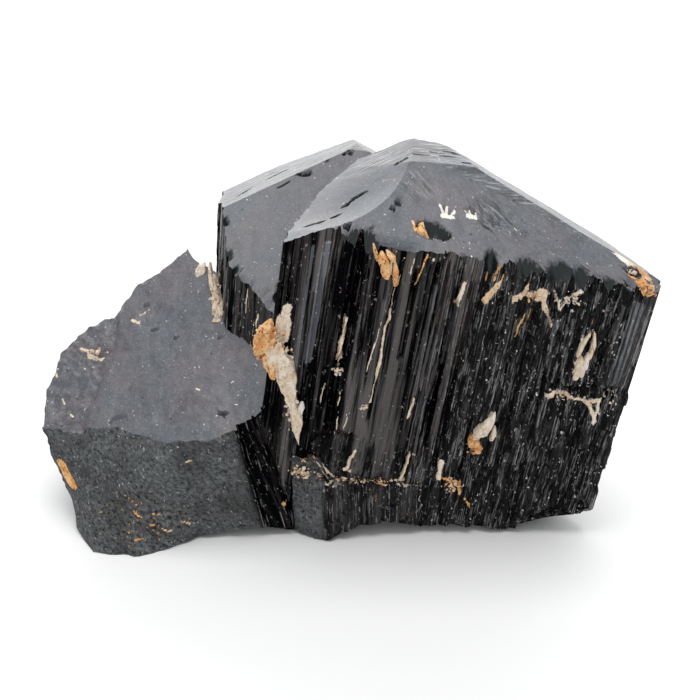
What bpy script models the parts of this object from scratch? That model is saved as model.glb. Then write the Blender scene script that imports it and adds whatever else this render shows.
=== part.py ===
"""A black tourmaline crystal group with pale feldspar grown between its crystals.

The large striated prism ends in a low pyramid and carries a second crystal that
has grown on in parallel behind its left side. A broad crystal leans out to the
left, and a short one stands in front of the large one's foot. Feldspar fills the
seams between them and sits in sockets of the large prism.

The frame has +X to the right, +Y away from the front and +Z up, and its origin
lies under the middle of the group, on the plane that the group stands on.
Each crystal has a frame of its own, in millimetres: x to the right across it,
y back across it, and a height along its long axis.
"""
import math

import bmesh
import bpy
import numpy as np
from mathutils import Vector, noise

MM = 0.001
GAP = 0.3 * MM
GROUP_MIDDLE = Vector((-2.291, 6.145, 0.0))
# What the rooms for neighbouring pieces add to the gap, and how tall they are.
GAP_ALLOWANCE = 0.05
NEIGHBOUR_ROOM_HEIGHTS = (-9.0, 60.0)
LEFT_ROOM_SHARE = 0.9
GROUND_DEPTH = 20.0
GROUND_SPAN = 200.0

# The large prism: where its front foot stands, how its long axis leans for each
# millimetre of rise, and its plan, counter-clockwise from the left front corner.
MAIN_FOOT = (18.0, -11.4)
MAIN_LEAN = (0.14, -0.03)
MAIN_PLAN = [
    (-32.0, 0.4), (-23.0, -1.0), (-10.0, -1.2), (4.0, -1.0), (14.0, -1.3), (14.5, 0.6), (12.1, 4.5),
    (8.2, 10.2), (0.2, 13.6), (-9.0, 17.0), (-18.0, 19.8), (-23.2, 19.6), (-28.1, 14.2), (-31.1, 6.0),
]
# Half of the narrow step between two ridges.
RIDGE_EDGE = 0.06
MAIN_RIDGE_HEIGHTS = (-8.0, 9.0, 20.0, 31.0, 58.0)
MAIN_RIDGE_WIDTH = 1.5
MAIN_RIDGE_DEPTH = 0.35
MAIN_SUMMIT_HEIGHT = 47.9
# The pyramid faces: azimuth in plan, tilt from the long axis, and a point on each.
FRONT_FACE = (-84.5, 27.3, (-8.4, -0.4, 41.7))
LEFT_FACE = (174.6, 31.5, (-18.5, 9.6, 47.2))
RIGHT_FACE = (27.6, 24.2, (4.0, 5.3, 44.0))
# The foot is broken off on the right: a point on the break, and its facing.
BREAK_POINT = (26.3, -11.0, 0.6)
BREAK_FACING = (0.50, -0.06, -0.86)

# The crystal grown on behind, parallel to the large one.
REAR_FOOT = (0.0, 0.0)
REAR_LEAN = (0.10, -0.03)
REAR_PLAN = [
    (-19.6, 1.6), (-8.7, -8.2), (2.0, -6.0), (16.0, 2.0), (18.0, 10.0), (12.0, 24.0), (2.0, 29.0),
    (-8.0, 29.5), (-16.0, 27.4), (-22.3, 22.2), (-22.6, 15.0), (-20.6, 5.0),
]
REAR_RIDGE_HEIGHTS = (-6.0, 12.0, 26.0, 52.0)
REAR_RIDGE_WIDTH = 2.2
REAR_RIDGE_DEPTH = 0.35
REAR_SUMMIT_HEIGHT = 42.3
REAR_FRONT_FACE = (-84.5, 27.3, (-4.9, 21.95, 42.3))
REAR_BACK_FACE = (155.5, 27.3, (-19.9, 10.3, 37.6))
REAR_RIGHT_FACE = (35.0, 27.3, (-1.7, 22.2, 42.3))

# The leaning crystal on the left: its foot outline on the ground and the same
# corners on its flat top, as x and y, counter-clockwise from the inner corner.
LEFT_FOOT_PLAN = [
    (-6.0, 0.0), (-13.0, 10.0), (-20.0, 15.5), (-27.0, 13.5), (-31.0, 11.0), (-34.0, 8.0),
    (-37.0, 4.0), (-38.6, -1.0), (-38.8, -7.0), (-37.5, -11.5), (-34.4, -15.8), (-28.8, -17.2),
    (-25.0, -16.0), (-20.6, -13.0), (-17.0, -12.2), (-14.5, -11.5), (-9.8, -12.4),
]
LEFT_TOP_PLAN = [
    (-9.0, -4.0), (-17.0, 8.0), (-23.4, 14.9), (-30.3, 11.2), (-33.6, 7.6), (-37.2, 6.6),
    (-40.8, 3.6), (-42.3, -1.0), (-42.3, -7.1), (-37.8, -7.9), (-32.8, -8.8), (-27.7, -11.3),
    (-23.5, -13.0), (-18.8, -13.7), (-15.0, -13.2), (-12.2, -11.8), (-9.4, -9.6),
]
LEFT_TOP_POINT = Vector((-23.5, -13.0, 15.2))
LEFT_TOP_FACING = Vector((-0.22, -0.47, 0.85))
LEFT_LEVELS = (-0.12, 0.12, 0.36, 0.6, 0.82, 1.3)
LEFT_POINTS_PER_SIDE = 3
LEFT_ROUGHNESS = 1.1
LEFT_ROUGH_SCALE = 6.0
NOISE_SHIFT = Vector((31.4, 0.0, 0.0))
FINE_NOISE_SHARE = 0.3
FINE_NOISE_TIGHTNESS = 2.3

# The short crystal in front: its outline, its height, and how far it tapers.
SHORT_PLAN = [(-7.9, -12.5), (-3.5, -14.2), (9.4, -12.5), (9.0, -10.6), (-7.9, -10.6)]
SHORT_LEVELS = (-2.0, 3.0, 7.0, 14.0)
SHORT_TOP_POINT = Vector((-3.5, -13.5, 10.0))
SHORT_TOP_FACING = Vector((0.14, -0.12, 1.0))
SHORT_RIDGE_WIDTH = 1.0
SHORT_RIDGE_DEPTH = 0.25
SHORT_POCKET = ((-8.7, -17.0, -3.0), (9.9, -10.1, 12.4))

# Broken-out pits: centre and full size in the large prism's own frame.
MAIN_PITS = [
    ((-14.4, 1.9, 43.2), (5.0, 5.2, 4.2)),
    ((-6.8, -1.6, 41.6), (2.6, 3.4, 4.4)),
    ((0.6, -2.4, 41.2), (8.6, 5.0, 4.6)),
    ((5.6, -2.2, 39.6), (4.4, 3.6, 3.4)),
    ((11.2, 1.0, 41.4), (4.6, 3.0, 2.6)),
    ((-23.6, 8.6, 44.2), (3.4, 1.6, 1.8)),
    ((3.6, -1.6, 23.0), (13.0, 2.2, 2.4)),
    ((-10.6, -1.6, 19.6), (3.2, 2.2, 5.0)),
]
LEFT_PITS = [
    ((-35.6, 2.2, 21.4), (5.4, 3.6, 3.0)),
    ((-16.4, -10.4, 18.9), (3.0, 2.0, 1.8)),
    ((-40.6, -9.0, 8.0), (5.0, 6.0, 7.0)),
    ((-24.0, -17.5, 4.0), (6.0, 5.0, 5.0)),
]

# Feldspar grains set in sockets of the large prism: centre, size and turn.
FELDSPAR_GRAINS = {
    "feldspar_rim_block": ((-19.3, -0.6, 38.9), (3.0, 3.0, 5.8), 8.0),
    "feldspar_pit_grain": ((-15.4, 2.5, 42.2), (2.4, 2.6, 2.4), 20.0),
    "feldspar_right_grain": ((7.2, -0.6, 29.8), (2.0, 2.4, 6.4), -9.0),
    "feldspar_low_grain": ((-2.6, -0.5, 16.8), (2.8, 2.4, 5.2), -14.0),
}
SOCKET_CLEARANCE = 0.35
# Lumps: how uneven and how square they are, and how close their bumps lie.
LUMP_UNEVENNESS = 0.32
LUMP_SQUARENESS = 0.75
LUMP_NOISE_TIGHTNESS = 1.6
# Feldspar seams: corners of each one's rough hull before its neighbours cut it.
FRONT_SEAM_HULL = [
    (-10.4, -13.3, 29.6), (-8.0, -13.3, 34.4), (-7.2, -13.2, 31.0), (-6.6, -13.5, 27.5),
    (-6.5, -14.2, 18.0), (-8.4, -14.6, 19.0), (-12.4, -12.4, 23.0), (-13.8, -9.0, 26.0),
    (-13.0, -5.0, 30.0), (-11.8, -12.2, 30.6), (-13.4, -9.0, 21.0), (-8.2, -11.0, 32.0),
]
BACK_SEAM_HULL = [
    (-20.4, 12.4, 34.0), (-18.2, 12.8, 34.4), (-19.4, 6.6, 31.0), (-17.0, 4.0, 27.0),
    (-19.2, 3.4, 24.6), (-22.8, 8.0, 27.0), (-22.6, 12.0, 29.5), (-15.0, 8.0, 26.0),
    (-15.5, 11.0, 33.0),
]

# Where each kind of uneven shape starts its random numbers.
SEEDS = {"main": 3, "rear": 5, "short": 9, "main pits": 20, "grains": 40, "left pits": 60}

TOURMALINE = ((0.018, 0.018, 0.022, 1.0), 0.30)
LEFT_TOURMALINE = ((0.035, 0.035, 0.038, 1.0), 0.50)
CREAM_FELDSPAR = ((0.62, 0.48, 0.32, 1.0), 0.60)
RUSTY_FELDSPAR = ((0.66, 0.32, 0.14, 1.0), 0.65)


class CrystalFrame:
    """A crystal's own frame: its long axis, and two plan axes across it."""

    def __init__(self, foot, lean):
        self.up = Vector((lean[0], lean[1], 1.0)).normalized()
        self.right = Vector((self.up.z, 0.0, -self.up.x)).normalized()
        self.back = self.up.cross(self.right)
        self.foot = Vector((foot[0], foot[1], 0.0))

    def point(self, x, y, height):
        """Place of a point that is given across and along the crystal."""
        return self.foot + self.right * x + self.back * y + self.up * height

    def facing(self, azimuth, tilt):
        """Outward direction of a face tilted down from the long axis."""
        around, down = math.radians(azimuth), math.radians(tilt)
        across = self.right * math.cos(around) + self.back * math.sin(around)
        return across * math.sin(down) + self.up * math.cos(down)


MAIN = CrystalFrame(MAIN_FOOT, MAIN_LEAN)
REAR = CrystalFrame(REAR_FOOT, REAR_LEAN)


def clear_scene():
    """Remove whatever the scene holds."""
    for item in list(bpy.data.objects):
        bpy.data.objects.remove(item, do_unlink=True)


def outward_of_sides(corners):
    """Unit outward direction of each side of a counter-clockwise outline."""
    steps = np.roll(corners, -1, axis=0) - corners
    normals = np.stack([steps[:, 1], -steps[:, 0]], axis=1)
    return normals / np.linalg.norm(normals, axis=1)[:, None]


def swollen_outline(corners, swell):
    """The outline moved outwards by the same distance on every side."""
    corners = np.array(corners, dtype=float)
    after = outward_of_sides(corners)
    before = np.roll(after, 1, axis=0)
    shared = 1.0 + np.sum(before * after, axis=1)
    return corners + swell * (before + after) / shared[:, None]


def ridge_columns(corners, ridge_width, rng):
    """Break each side into flat ridges, two plan points to a ridge.

    Returns the points, their outward directions and each point's ridge number.
    """
    corners = np.array(corners, dtype=float)
    sides = outward_of_sides(corners)
    points, outward, ridges = [], [], []
    for side, start in enumerate(corners):
        end = corners[(side + 1) % len(corners)]
        length = np.linalg.norm(end - start)
        count = max(1, round(length / ridge_width))
        widths = rng.uniform(0.5, 1.5, count)
        stops = np.concatenate([[0.0], np.cumsum(widths) / np.sum(widths)])
        edge = RIDGE_EDGE / length
        for low, high in zip(stops, stops[1:]):
            for place in (low + edge, high - edge):
                points.append(start + (end - start) * place)
                outward.append(sides[side])
                ridges.append(len(ridges) // 2)
    return np.array(points), np.array(outward), np.array(ridges)


def body_from_rings(rings):
    """Closed body through rings of equally many points, its two ends filled."""
    body = bmesh.new()
    loops = [[body.verts.new(point) for point in ring] for ring in rings]
    for low, high in zip(loops, loops[1:]):
        for index in range(len(low)):
            following = (index + 1) % len(low)
            body.faces.new((low[index], low[following], high[following], high[index]))
    body.faces.new(list(reversed(loops[0])))
    body.faces.new(loops[-1])
    return body


def striated_prism(frame, plan, heights, ridge_width, ridge_depth, seed):
    """A prism whose ridges stand out by different amounts and change as they rise.

    The ridges stand out from an outline drawn in by their depth, so that they
    never cross at a corner.
    """
    rng = np.random.default_rng(seed)
    points, outward, ridges = ridge_columns(swollen_outline(plan, -ridge_depth), ridge_width, rng)
    count = ridges.max() + 1
    height_of_ridge = rng.uniform(0.0, 1.0, count)
    rings = []
    for height in heights:
        change = rng.uniform(-0.35, 0.35, count)
        offset = ridge_depth * np.clip(height_of_ridge + change, 0.0, 1.0)[ridges]
        ring = points + outward * offset[:, None]
        rings.append([frame.point(x, y, height) for x, y in ring])
    return body_from_rings(rings)


def plain_prism(frame, plan, low, high, swell):
    """The prism without its ridges, swollen, to cut its neighbours with."""
    outline = swollen_outline(plan, swell)
    return body_from_rings([[frame.point(x, y, height) for x, y in outline] for height in (low, high)])


def keep_below(body, point, facing):
    """Cut the body flat and drop the side that the facing points to."""
    parts = body.verts[:] + body.edges[:] + body.faces[:]
    cut = bmesh.ops.bisect_plane(
        body, geom=parts, dist=1e-6, plane_co=point, plane_no=facing, clear_outer=True)
    rim = [item for item in cut["geom_cut"] if isinstance(item, bmesh.types.BMEdge)]
    bmesh.ops.edgeloop_fill(body, edges=rim)
    bmesh.ops.recalc_face_normals(body, faces=body.faces)


def cut_pyramid(body, frame, faces, summit_height):
    """Cut the pyramid faces and the small flat summit of a crystal."""
    for azimuth, tilt, place in faces:
        keep_below(body, frame.point(*place), frame.facing(azimuth, tilt))
    keep_below(body, frame.point(0.0, 0.0, summit_height), frame.up)


def leaning_block(swell):
    """The left crystal: straight lines from each foot corner up past its top."""
    foot = swollen_outline(LEFT_FOOT_PLAN, swell)
    top = swollen_outline(LEFT_TOP_PLAN, swell)
    slope = LEFT_TOP_FACING
    rise = [
        LEFT_TOP_POINT.z
        - ((x - LEFT_TOP_POINT.x) * slope.x + (y - LEFT_TOP_POINT.y) * slope.y) / slope.z
        for x, y in top
    ]
    foot = np.column_stack([foot, np.zeros(len(foot))])
    top = np.column_stack([top, rise])
    shares = np.linspace(0.0, 1.0, LEFT_POINTS_PER_SIDE, endpoint=False)[:, None]
    low = np.concatenate([a + (b - a) * shares for a, b in zip(foot, np.roll(foot, -1, axis=0))])
    high = np.concatenate([a + (b - a) * shares for a, b in zip(top, np.roll(top, -1, axis=0))])
    return body_from_rings([[Vector(p) for p in low + (high - low) * level] for level in LEFT_LEVELS])


def two_scale_noise(place):
    """Smooth noise with a finer, weaker one on top."""
    return noise.noise(place) + FINE_NOISE_SHARE * noise.noise(place * FINE_NOISE_TIGHTNESS)


def roughen(body, amplitude, scale):
    """Push every point sideways along a smooth noise, as a broken side is lumpy."""
    for vert in body.verts:
        place = vert.co / scale
        vert.co.x += amplitude * two_scale_noise(place)
        vert.co.y += amplitude * two_scale_noise(place + NOISE_SHIFT)


def lump(centre, size, turn, seed, swell=0.0):
    """An angular lump of about a given size, turned about the line of sight."""
    body = bmesh.new()
    bmesh.ops.create_icosphere(body, subdivisions=2, radius=1.0)
    rng = np.random.default_rng(seed)
    shift = Vector(rng.uniform(-40.0, 40.0, 3))
    angle = math.radians(turn)
    for vert in body.verts:
        reach = 1.0 + LUMP_UNEVENNESS * noise.noise(vert.co * LUMP_NOISE_TIGHTNESS + shift)
        flat = Vector([math.copysign(abs(part) ** LUMP_SQUARENESS, part) for part in vert.co])
        half = flat * reach
        x, y, z = (half[axis] * (size[axis] / 2.0 + swell) for axis in range(3))
        across = x * math.cos(angle) + z * math.sin(angle)
        upward = z * math.cos(angle) - x * math.sin(angle)
        vert.co = centre + Vector((across, y, upward))
    return body


def hull(points):
    """Closed convex body round a few corners."""
    body = bmesh.new()
    corners = [body.verts.new(point) for point in points]
    made = bmesh.ops.convex_hull(body, input=corners)
    bmesh.ops.delete(body, geom=made["geom_interior"], context='VERTS')
    bmesh.ops.recalc_face_normals(body, faces=body.faces)
    return body


def box(low, high):
    """A plain box between two corners."""
    corners = [(x, y, z) for x in (low[0], high[0]) for y in (low[1], high[1]) for z in (low[2], high[2])]
    return hull(corners)


def add_object(name, body, material=None):
    """Turn a body in drawing millimetres into a placed object in metres."""
    bmesh.ops.translate(body, verts=body.verts, vec=-GROUP_MIDDLE)
    bmesh.ops.scale(body, verts=body.verts, vec=(MM, MM, MM))
    mesh = bpy.data.meshes.new(name)
    body.to_mesh(mesh)
    body.free()
    item = bpy.data.objects.new(name, mesh)
    bpy.context.scene.collection.objects.link(item)
    if material:
        mesh.materials.append(material)
    return item


def add_cutter(name, bodies):
    """One hidden object out of several bodies, for use in Booleans."""
    joined = bmesh.new()
    for body in bodies:
        piece = bpy.data.meshes.new(name)
        body.to_mesh(piece)
        body.free()
        joined.from_mesh(piece)
        bpy.data.meshes.remove(piece)
    item = add_object(name, joined)
    item.hide_render = True
    item.display_type = 'WIRE'
    return item


def combine(item, other, operation):
    """Add one exact Boolean with another object."""
    step = item.modifiers.new(other.name, 'BOOLEAN')
    step.operation = operation
    step.solver = 'EXACT'
    step.object = other


def surface_material(name, look):
    """A plain surface of one colour and roughness."""
    colour, roughness = look
    material = bpy.data.materials.new(name)
    material.use_nodes = True
    shader = material.node_tree.nodes["Principled BSDF"]
    shader.inputs["Base Color"].default_value = colour
    shader.inputs["Roughness"].default_value = roughness
    shader.inputs["Metallic"].default_value = 0.0
    return material


def grain_body(name, swell=0.0):
    """A feldspar grain, or with some swell the socket that it sits in."""
    place, size, turn = FELDSPAR_GRAINS[name]
    seed = SEEDS["grains"] + list(FELDSPAR_GRAINS).index(name)
    return lump(MAIN.point(*place), size, turn, seed, swell)


def make_ground():
    """The plane that every crystal is broken off flat at."""
    low = (-GROUND_SPAN, -GROUND_SPAN, -GROUND_DEPTH)
    high = (GROUND_SPAN, GROUND_SPAN, 0.0)
    return add_cutter("ground_cutter", [box(low, high)])


def make_neighbour_cutters():
    """Swollen plain crystals, which keep their neighbours clear of them."""
    low, high = NEIGHBOUR_ROOM_HEIGHTS
    swell = GAP / MM + GAP_ALLOWANCE
    return {
        "main": add_cutter("main_room", [plain_prism(MAIN, MAIN_PLAN, low, high, swell)]),
        "rear": add_cutter("rear_room", [plain_prism(REAR, REAR_PLAN, low, high, swell)]),
    }


def make_left_room():
    """The room that the left crystal's own rough sides need, up to its top."""
    body = leaning_block(LEFT_ROUGHNESS * LEFT_ROOM_SHARE + GAP / MM)
    facing = LEFT_TOP_FACING.normalized()
    keep_below(body, LEFT_TOP_POINT + facing * GAP / MM, facing)
    return add_cutter("left_room", [body])


def make_main_crystal(ground):
    """The large prism with its parallel neighbour, its pits and its sockets."""
    body = striated_prism(
        MAIN, MAIN_PLAN, MAIN_RIDGE_HEIGHTS, MAIN_RIDGE_WIDTH, MAIN_RIDGE_DEPTH, SEEDS["main"])
    cut_pyramid(body, MAIN, (FRONT_FACE, LEFT_FACE, RIGHT_FACE), MAIN_SUMMIT_HEIGHT)
    keep_below(body, Vector(BREAK_POINT), Vector(BREAK_FACING).normalized())
    item = add_object("main_crystal", body, surface_material("black_tourmaline", TOURMALINE))

    rear = striated_prism(
        REAR, REAR_PLAN, REAR_RIDGE_HEIGHTS, REAR_RIDGE_WIDTH, REAR_RIDGE_DEPTH, SEEDS["rear"])
    cut_pyramid(rear, REAR, (REAR_FRONT_FACE, REAR_BACK_FACE, REAR_RIGHT_FACE), REAR_SUMMIT_HEIGHT)
    combine(item, add_cutter("rear_crystal_part", [rear]), 'UNION')

    for number, (place, size) in enumerate(MAIN_PITS):
        body = lump(MAIN.point(*place), size, 0.0, SEEDS["main pits"] + number)
        pit = add_cutter(f"main_pit_{number}", [body])
        combine(item, pit, 'DIFFERENCE')
    for name in FELDSPAR_GRAINS:
        combine(item, add_cutter(name + "_socket", [grain_body(name, SOCKET_CLEARANCE)]), 'DIFFERENCE')
    combine(item, add_cutter("short_crystal_pocket", [box(*SHORT_POCKET)]), 'DIFFERENCE')
    combine(item, ground, 'DIFFERENCE')


def make_left_crystal(ground, rooms):
    """The broad leaning crystal with its flat top and rough sides."""
    body = leaning_block(0.0)
    roughen(body, LEFT_ROUGHNESS, LEFT_ROUGH_SCALE)
    keep_below(body, LEFT_TOP_POINT, LEFT_TOP_FACING.normalized())
    item = add_object("left_crystal", body, surface_material("left_tourmaline", LEFT_TOURMALINE))
    for number, (place, size) in enumerate(LEFT_PITS):
        pit = add_cutter(f"left_pit_{number}", [lump(Vector(place), size, 0.0, SEEDS["left pits"] + number)])
        combine(item, pit, 'DIFFERENCE')
    for room in (rooms["main"], rooms["rear"], ground):
        combine(item, room, 'DIFFERENCE')


def make_front_crystal(ground):
    """The short crystal in its pocket at the large one's foot."""
    frame = CrystalFrame((0.0, 0.0), (0.0, 0.0))
    body = striated_prism(
        frame, SHORT_PLAN, SHORT_LEVELS, SHORT_RIDGE_WIDTH, SHORT_RIDGE_DEPTH, SEEDS["short"])
    keep_below(body, SHORT_TOP_POINT, SHORT_TOP_FACING.normalized())
    item = add_object("front_crystal", body, surface_material("short_tourmaline", TOURMALINE))
    combine(item, ground, 'DIFFERENCE')


def make_feldspar(rooms):
    """The seams between the crystals and the grains in their sockets."""
    for name, corners in (("feldspar_front_seam", FRONT_SEAM_HULL), ("feldspar_back_seam", BACK_SEAM_HULL)):
        seam = add_object(name, hull(corners), surface_material(name, CREAM_FELDSPAR))
        for room in rooms.values():
            combine(seam, room, 'DIFFERENCE')
    for name in FELDSPAR_GRAINS:
        add_object(name, grain_body(name), surface_material(name, RUSTY_FELDSPAR))


def main():
    """Build the whole group."""
    clear_scene()
    ground = make_ground()
    rooms = make_neighbour_cutters()
    make_main_crystal(ground)
    make_left_crystal(ground, rooms)
    make_front_crystal(ground)
    rooms["left"] = make_left_room()
    make_feldspar(rooms)


if __name__ == "__main__":
    main()
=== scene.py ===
"""Surfaces, materials and studio for a black tourmaline crystal group.

The script is laid out as an add-on: one operator for each piece of the specimen and
one for the stage, with a panel that lists them. Lengths inside the shape functions
are millimetres in a crystal's own frame, x to its right, y back and h up its axis.
"""
import itertools
import math

import bpy
import numpy as np
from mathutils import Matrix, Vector


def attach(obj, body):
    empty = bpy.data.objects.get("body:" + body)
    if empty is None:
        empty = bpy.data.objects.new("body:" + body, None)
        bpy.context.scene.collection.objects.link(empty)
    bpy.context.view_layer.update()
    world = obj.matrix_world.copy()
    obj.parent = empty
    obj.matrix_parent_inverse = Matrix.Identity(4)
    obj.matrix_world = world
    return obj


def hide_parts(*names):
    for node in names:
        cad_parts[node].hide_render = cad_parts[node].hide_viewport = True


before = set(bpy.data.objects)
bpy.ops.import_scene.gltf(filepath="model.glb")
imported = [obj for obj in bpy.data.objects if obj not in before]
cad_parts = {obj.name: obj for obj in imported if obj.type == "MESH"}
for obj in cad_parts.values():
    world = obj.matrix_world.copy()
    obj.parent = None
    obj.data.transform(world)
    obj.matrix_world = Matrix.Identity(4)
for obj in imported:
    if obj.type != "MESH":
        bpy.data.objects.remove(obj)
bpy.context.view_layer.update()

bl_info = {
    "name": "Black tourmaline group",
    "version": (1, 0, 0),
    "blender": (4, 5, 0),
    "location": "3D View > Sidebar > Tourmaline",
    "description": "Builds the surfaces of a black tourmaline and feldspar specimen",
    "category": "Add Mesh",
}

MM = 0.001
GROUP_MIDDLE = np.array([-2.291, 6.145, 0.0])
BODY = "root"
SHARP_ANGLE = math.radians(38.0)

MAIN_FOOT, MAIN_LEAN = (18.0, -11.4), (0.14, -0.03)
MAIN_PLAN = [
    (-32.0, 0.4), (-23.0, -1.0), (-10.0, -1.2), (4.0, -1.0), (14.0, -1.3), (14.5, 0.6), (12.1, 4.5),
    (8.2, 10.2), (0.2, 13.6), (-9.0, 17.0), (-18.0, 19.8), (-23.2, 19.6), (-28.1, 14.2), (-31.1, 6.0),
]
MAIN_SUMMIT = 47.9
FRONT_FACE = (-84.5, 27.3, (-8.4, -0.4, 41.7))
LEFT_FACE = (174.6, 31.5, (-18.5, 9.6, 47.2))
RIGHT_FACE = (27.6, 24.2, (4.0, 5.3, 44.0))
BREAK_POINT = (26.3, -11.0, 0.6)
BREAK_FACING = (0.50, -0.06, -0.86)

REAR_FOOT, REAR_LEAN = (0.0, 0.0), (0.10, -0.03)
REAR_PLAN = [
    (-19.6, 1.6), (-8.7, -8.2), (2.0, -6.0), (16.0, 2.0), (18.0, 10.0), (12.0, 24.0), (2.0, 29.0),
    (-8.0, 29.5), (-16.0, 27.4), (-22.3, 22.2), (-22.6, 15.0), (-20.6, 5.0),
]
REAR_SUMMIT = 42.3
REAR_FRONT_FACE = (-84.5, 27.3, (-4.9, 21.95, 42.3))
REAR_BACK_FACE = (155.5, 27.3, (-19.9, 10.3, 37.6))
REAR_RIGHT_FACE = (35.0, 27.3, (-1.7, 22.2, 42.3))

LEFT_FOOT_PLAN = [
    (-6.0, 0.0), (-13.0, 10.0), (-20.0, 15.5), (-27.0, 13.5), (-31.0, 11.0), (-34.0, 8.0),
    (-37.0, 4.0), (-38.6, -1.0), (-38.8, -7.0), (-37.5, -11.5), (-34.4, -15.8), (-28.8, -17.2),
    (-25.0, -16.0), (-20.6, -13.4), (-12.2, -13.2), (-7.8, -13.3), (-6.8, -11.6),
]
LEFT_TOP_PLAN = [
    (-9.0, -4.0), (-17.0, 8.0), (-23.4, 14.9), (-30.3, 11.2), (-33.6, 7.6), (-37.2, 6.6),
    (-40.8, 3.6), (-42.3, -1.0), (-42.3, -7.1), (-37.8, -7.9), (-32.8, -8.8), (-27.7, -11.3),
    (-23.5, -13.0), (-18.8, -13.7), (-15.0, -13.2), (-12.2, -11.8), (-9.4, -9.6),
]
LEFT_TOP_POINT = (-23.5, -13.0, 15.2)
LEFT_TOP_FACING = (-0.22, -0.47, 0.85)

SHORT_PLAN = [(-7.9, -12.5), (-3.5, -14.2), (9.4, -12.5), (9.0, -10.6), (-7.9, -10.6)]
SHORT_TOP_POINT = (-3.5, -13.5, 10.0)
SHORT_TOP_FACING = (0.14, -0.12, 1.0)

# The camera aims at a point of the drawing frame, in millimetres.
CAMERA_AIM = (0.0, 0.0, 22.0)
CAMERA_DISTANCE = 160.0
CAMERA_ELEVATION = 30.0
CAMERA_LENS = 60.0


# Noise

def lattice_random(cell, seed):
    """A repeatable random number from 0 to 1 for each whole-number lattice point.

    The three indices and the seed are mixed by multiplying with large odd
    numbers and folding the high bits down.
    """
    cell = cell.astype(np.int64).astype(np.uint64)
    mixed = cell[..., 0] * np.uint64(374761393) + cell[..., 1] * np.uint64(668265263)
    mixed = mixed + cell[..., 2] * np.uint64(2246822519) + np.uint64(seed * 3266489917 % (1 << 32))
    mixed = (mixed ^ (mixed >> np.uint64(13))) * np.uint64(1274126177)
    mixed = (mixed ^ (mixed >> np.uint64(31))) * np.uint64(2654435761)
    return ((mixed >> np.uint64(24)) & np.uint64(0xFFFFFF)).astype(float) / float(0x1000000)


def soft_noise(points, size, seed):
    """Smooth noise from -1 to 1.

    Each corner of a cubic lattice of the given size has a random value, and a
    point takes their mean weighted by 3t*t - 2t*t*t along each axis.
    """
    place = points / size
    base = np.floor(place)
    share = place - base
    share = share * share * (3.0 - 2.0 * share)
    total = np.zeros(points.shape[:-1])
    for corner in itertools.product((0, 1), repeat=3):
        weight = np.prod(np.where(corner, share, 1.0 - share), axis=-1)
        total += weight * lattice_random(base + np.array(corner), seed)
    return total * 2.0 - 1.0


def rough_noise(points, size, seed, octaves=4):
    """Sum of soft noises, each half the size and half the height of the last."""
    total = np.zeros(points.shape[:-1])
    for step in range(octaves):
        total += soft_noise(points, size / 2 ** step, seed + step) / 2 ** step
    return total


def grain_number(points, size, seed):
    """A random number from 0 to 1 for the grain whose centre is nearest.

    Each cube of a lattice of the given size holds one centre at a random place.
    """
    place = points / size
    base = np.floor(place)
    nearest = np.full(points.shape[:-1], 9.0)
    number = np.zeros(points.shape[:-1])
    for offset in itertools.product((-1, 0, 1), repeat=3):
        cell = base + np.array(offset)
        centre = cell + np.stack([lattice_random(cell, seed + axis) for axis in range(3)], axis=-1)
        distance = np.linalg.norm(place - centre, axis=-1)
        closer = distance < nearest
        number = np.where(closer, lattice_random(cell, seed + 7), number)
        nearest = np.where(closer, distance, nearest)
    return number


def smooth_step(low, high, value):
    """0 below low, 1 above high, and a smooth rise between."""
    share = np.clip((value - low) / (high - low), 0.0, 1.0)
    return share * share * (3.0 - 2.0 * share)


def flat_points(x, y):
    """Points of two arrays at height 0, for noise on a plan."""
    return np.stack([x, y, np.zeros(x.shape)], axis=-1)


# Frames and outlines

class CrystalFrame:
    """A crystal's own frame, which places millimetres across and along it in metres."""

    def __init__(self, foot, lean):
        self.up = np.array([lean[0], lean[1], 1.0])
        self.up /= np.linalg.norm(self.up)
        self.right = np.array([self.up[2], 0.0, -self.up[0]])
        self.right /= np.linalg.norm(self.right)
        self.back = np.cross(self.up, self.right)
        self.foot = np.array([foot[0], foot[1], 0.0])

    def drawing(self, x, y, h):
        """Place in the drawing frame, in millimetres, of arrays x, y and h."""
        return self.foot + x[..., None] * self.right + y[..., None] * self.back + h[..., None] * self.up

    def place(self, x, y, h):
        """Place in the shared frame, in metres."""
        return (self.drawing(x, y, h) - GROUP_MIDDLE) * MM

    def ground_height(self, x, y):
        """Height along the crystal at which it meets the ground."""
        return -(x * self.right[2] + y * self.back[2]) / self.up[2]


class Slope:
    """A flat face as height = level + x * rise_x + y * rise_y in a crystal's frame."""

    def __init__(self, azimuth, tilt, point):
        around, drop = math.radians(azimuth), math.tan(math.radians(tilt))
        self.rise = (-drop * math.cos(around), -drop * math.sin(around))
        self.level = point[2] - self.rise[0] * point[0] - self.rise[1] * point[1]

    def height(self, x, y):
        return self.level + self.rise[0] * x + self.rise[1] * y


def meeting_point(first, second, third):
    """Plan point where three faces meet."""
    rows = np.array([
        [first.rise[0] - other.rise[0], first.rise[1] - other.rise[1]] for other in (second, third)])
    return np.linalg.solve(rows, np.array([other.level - first.level for other in (second, third)]))


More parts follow.
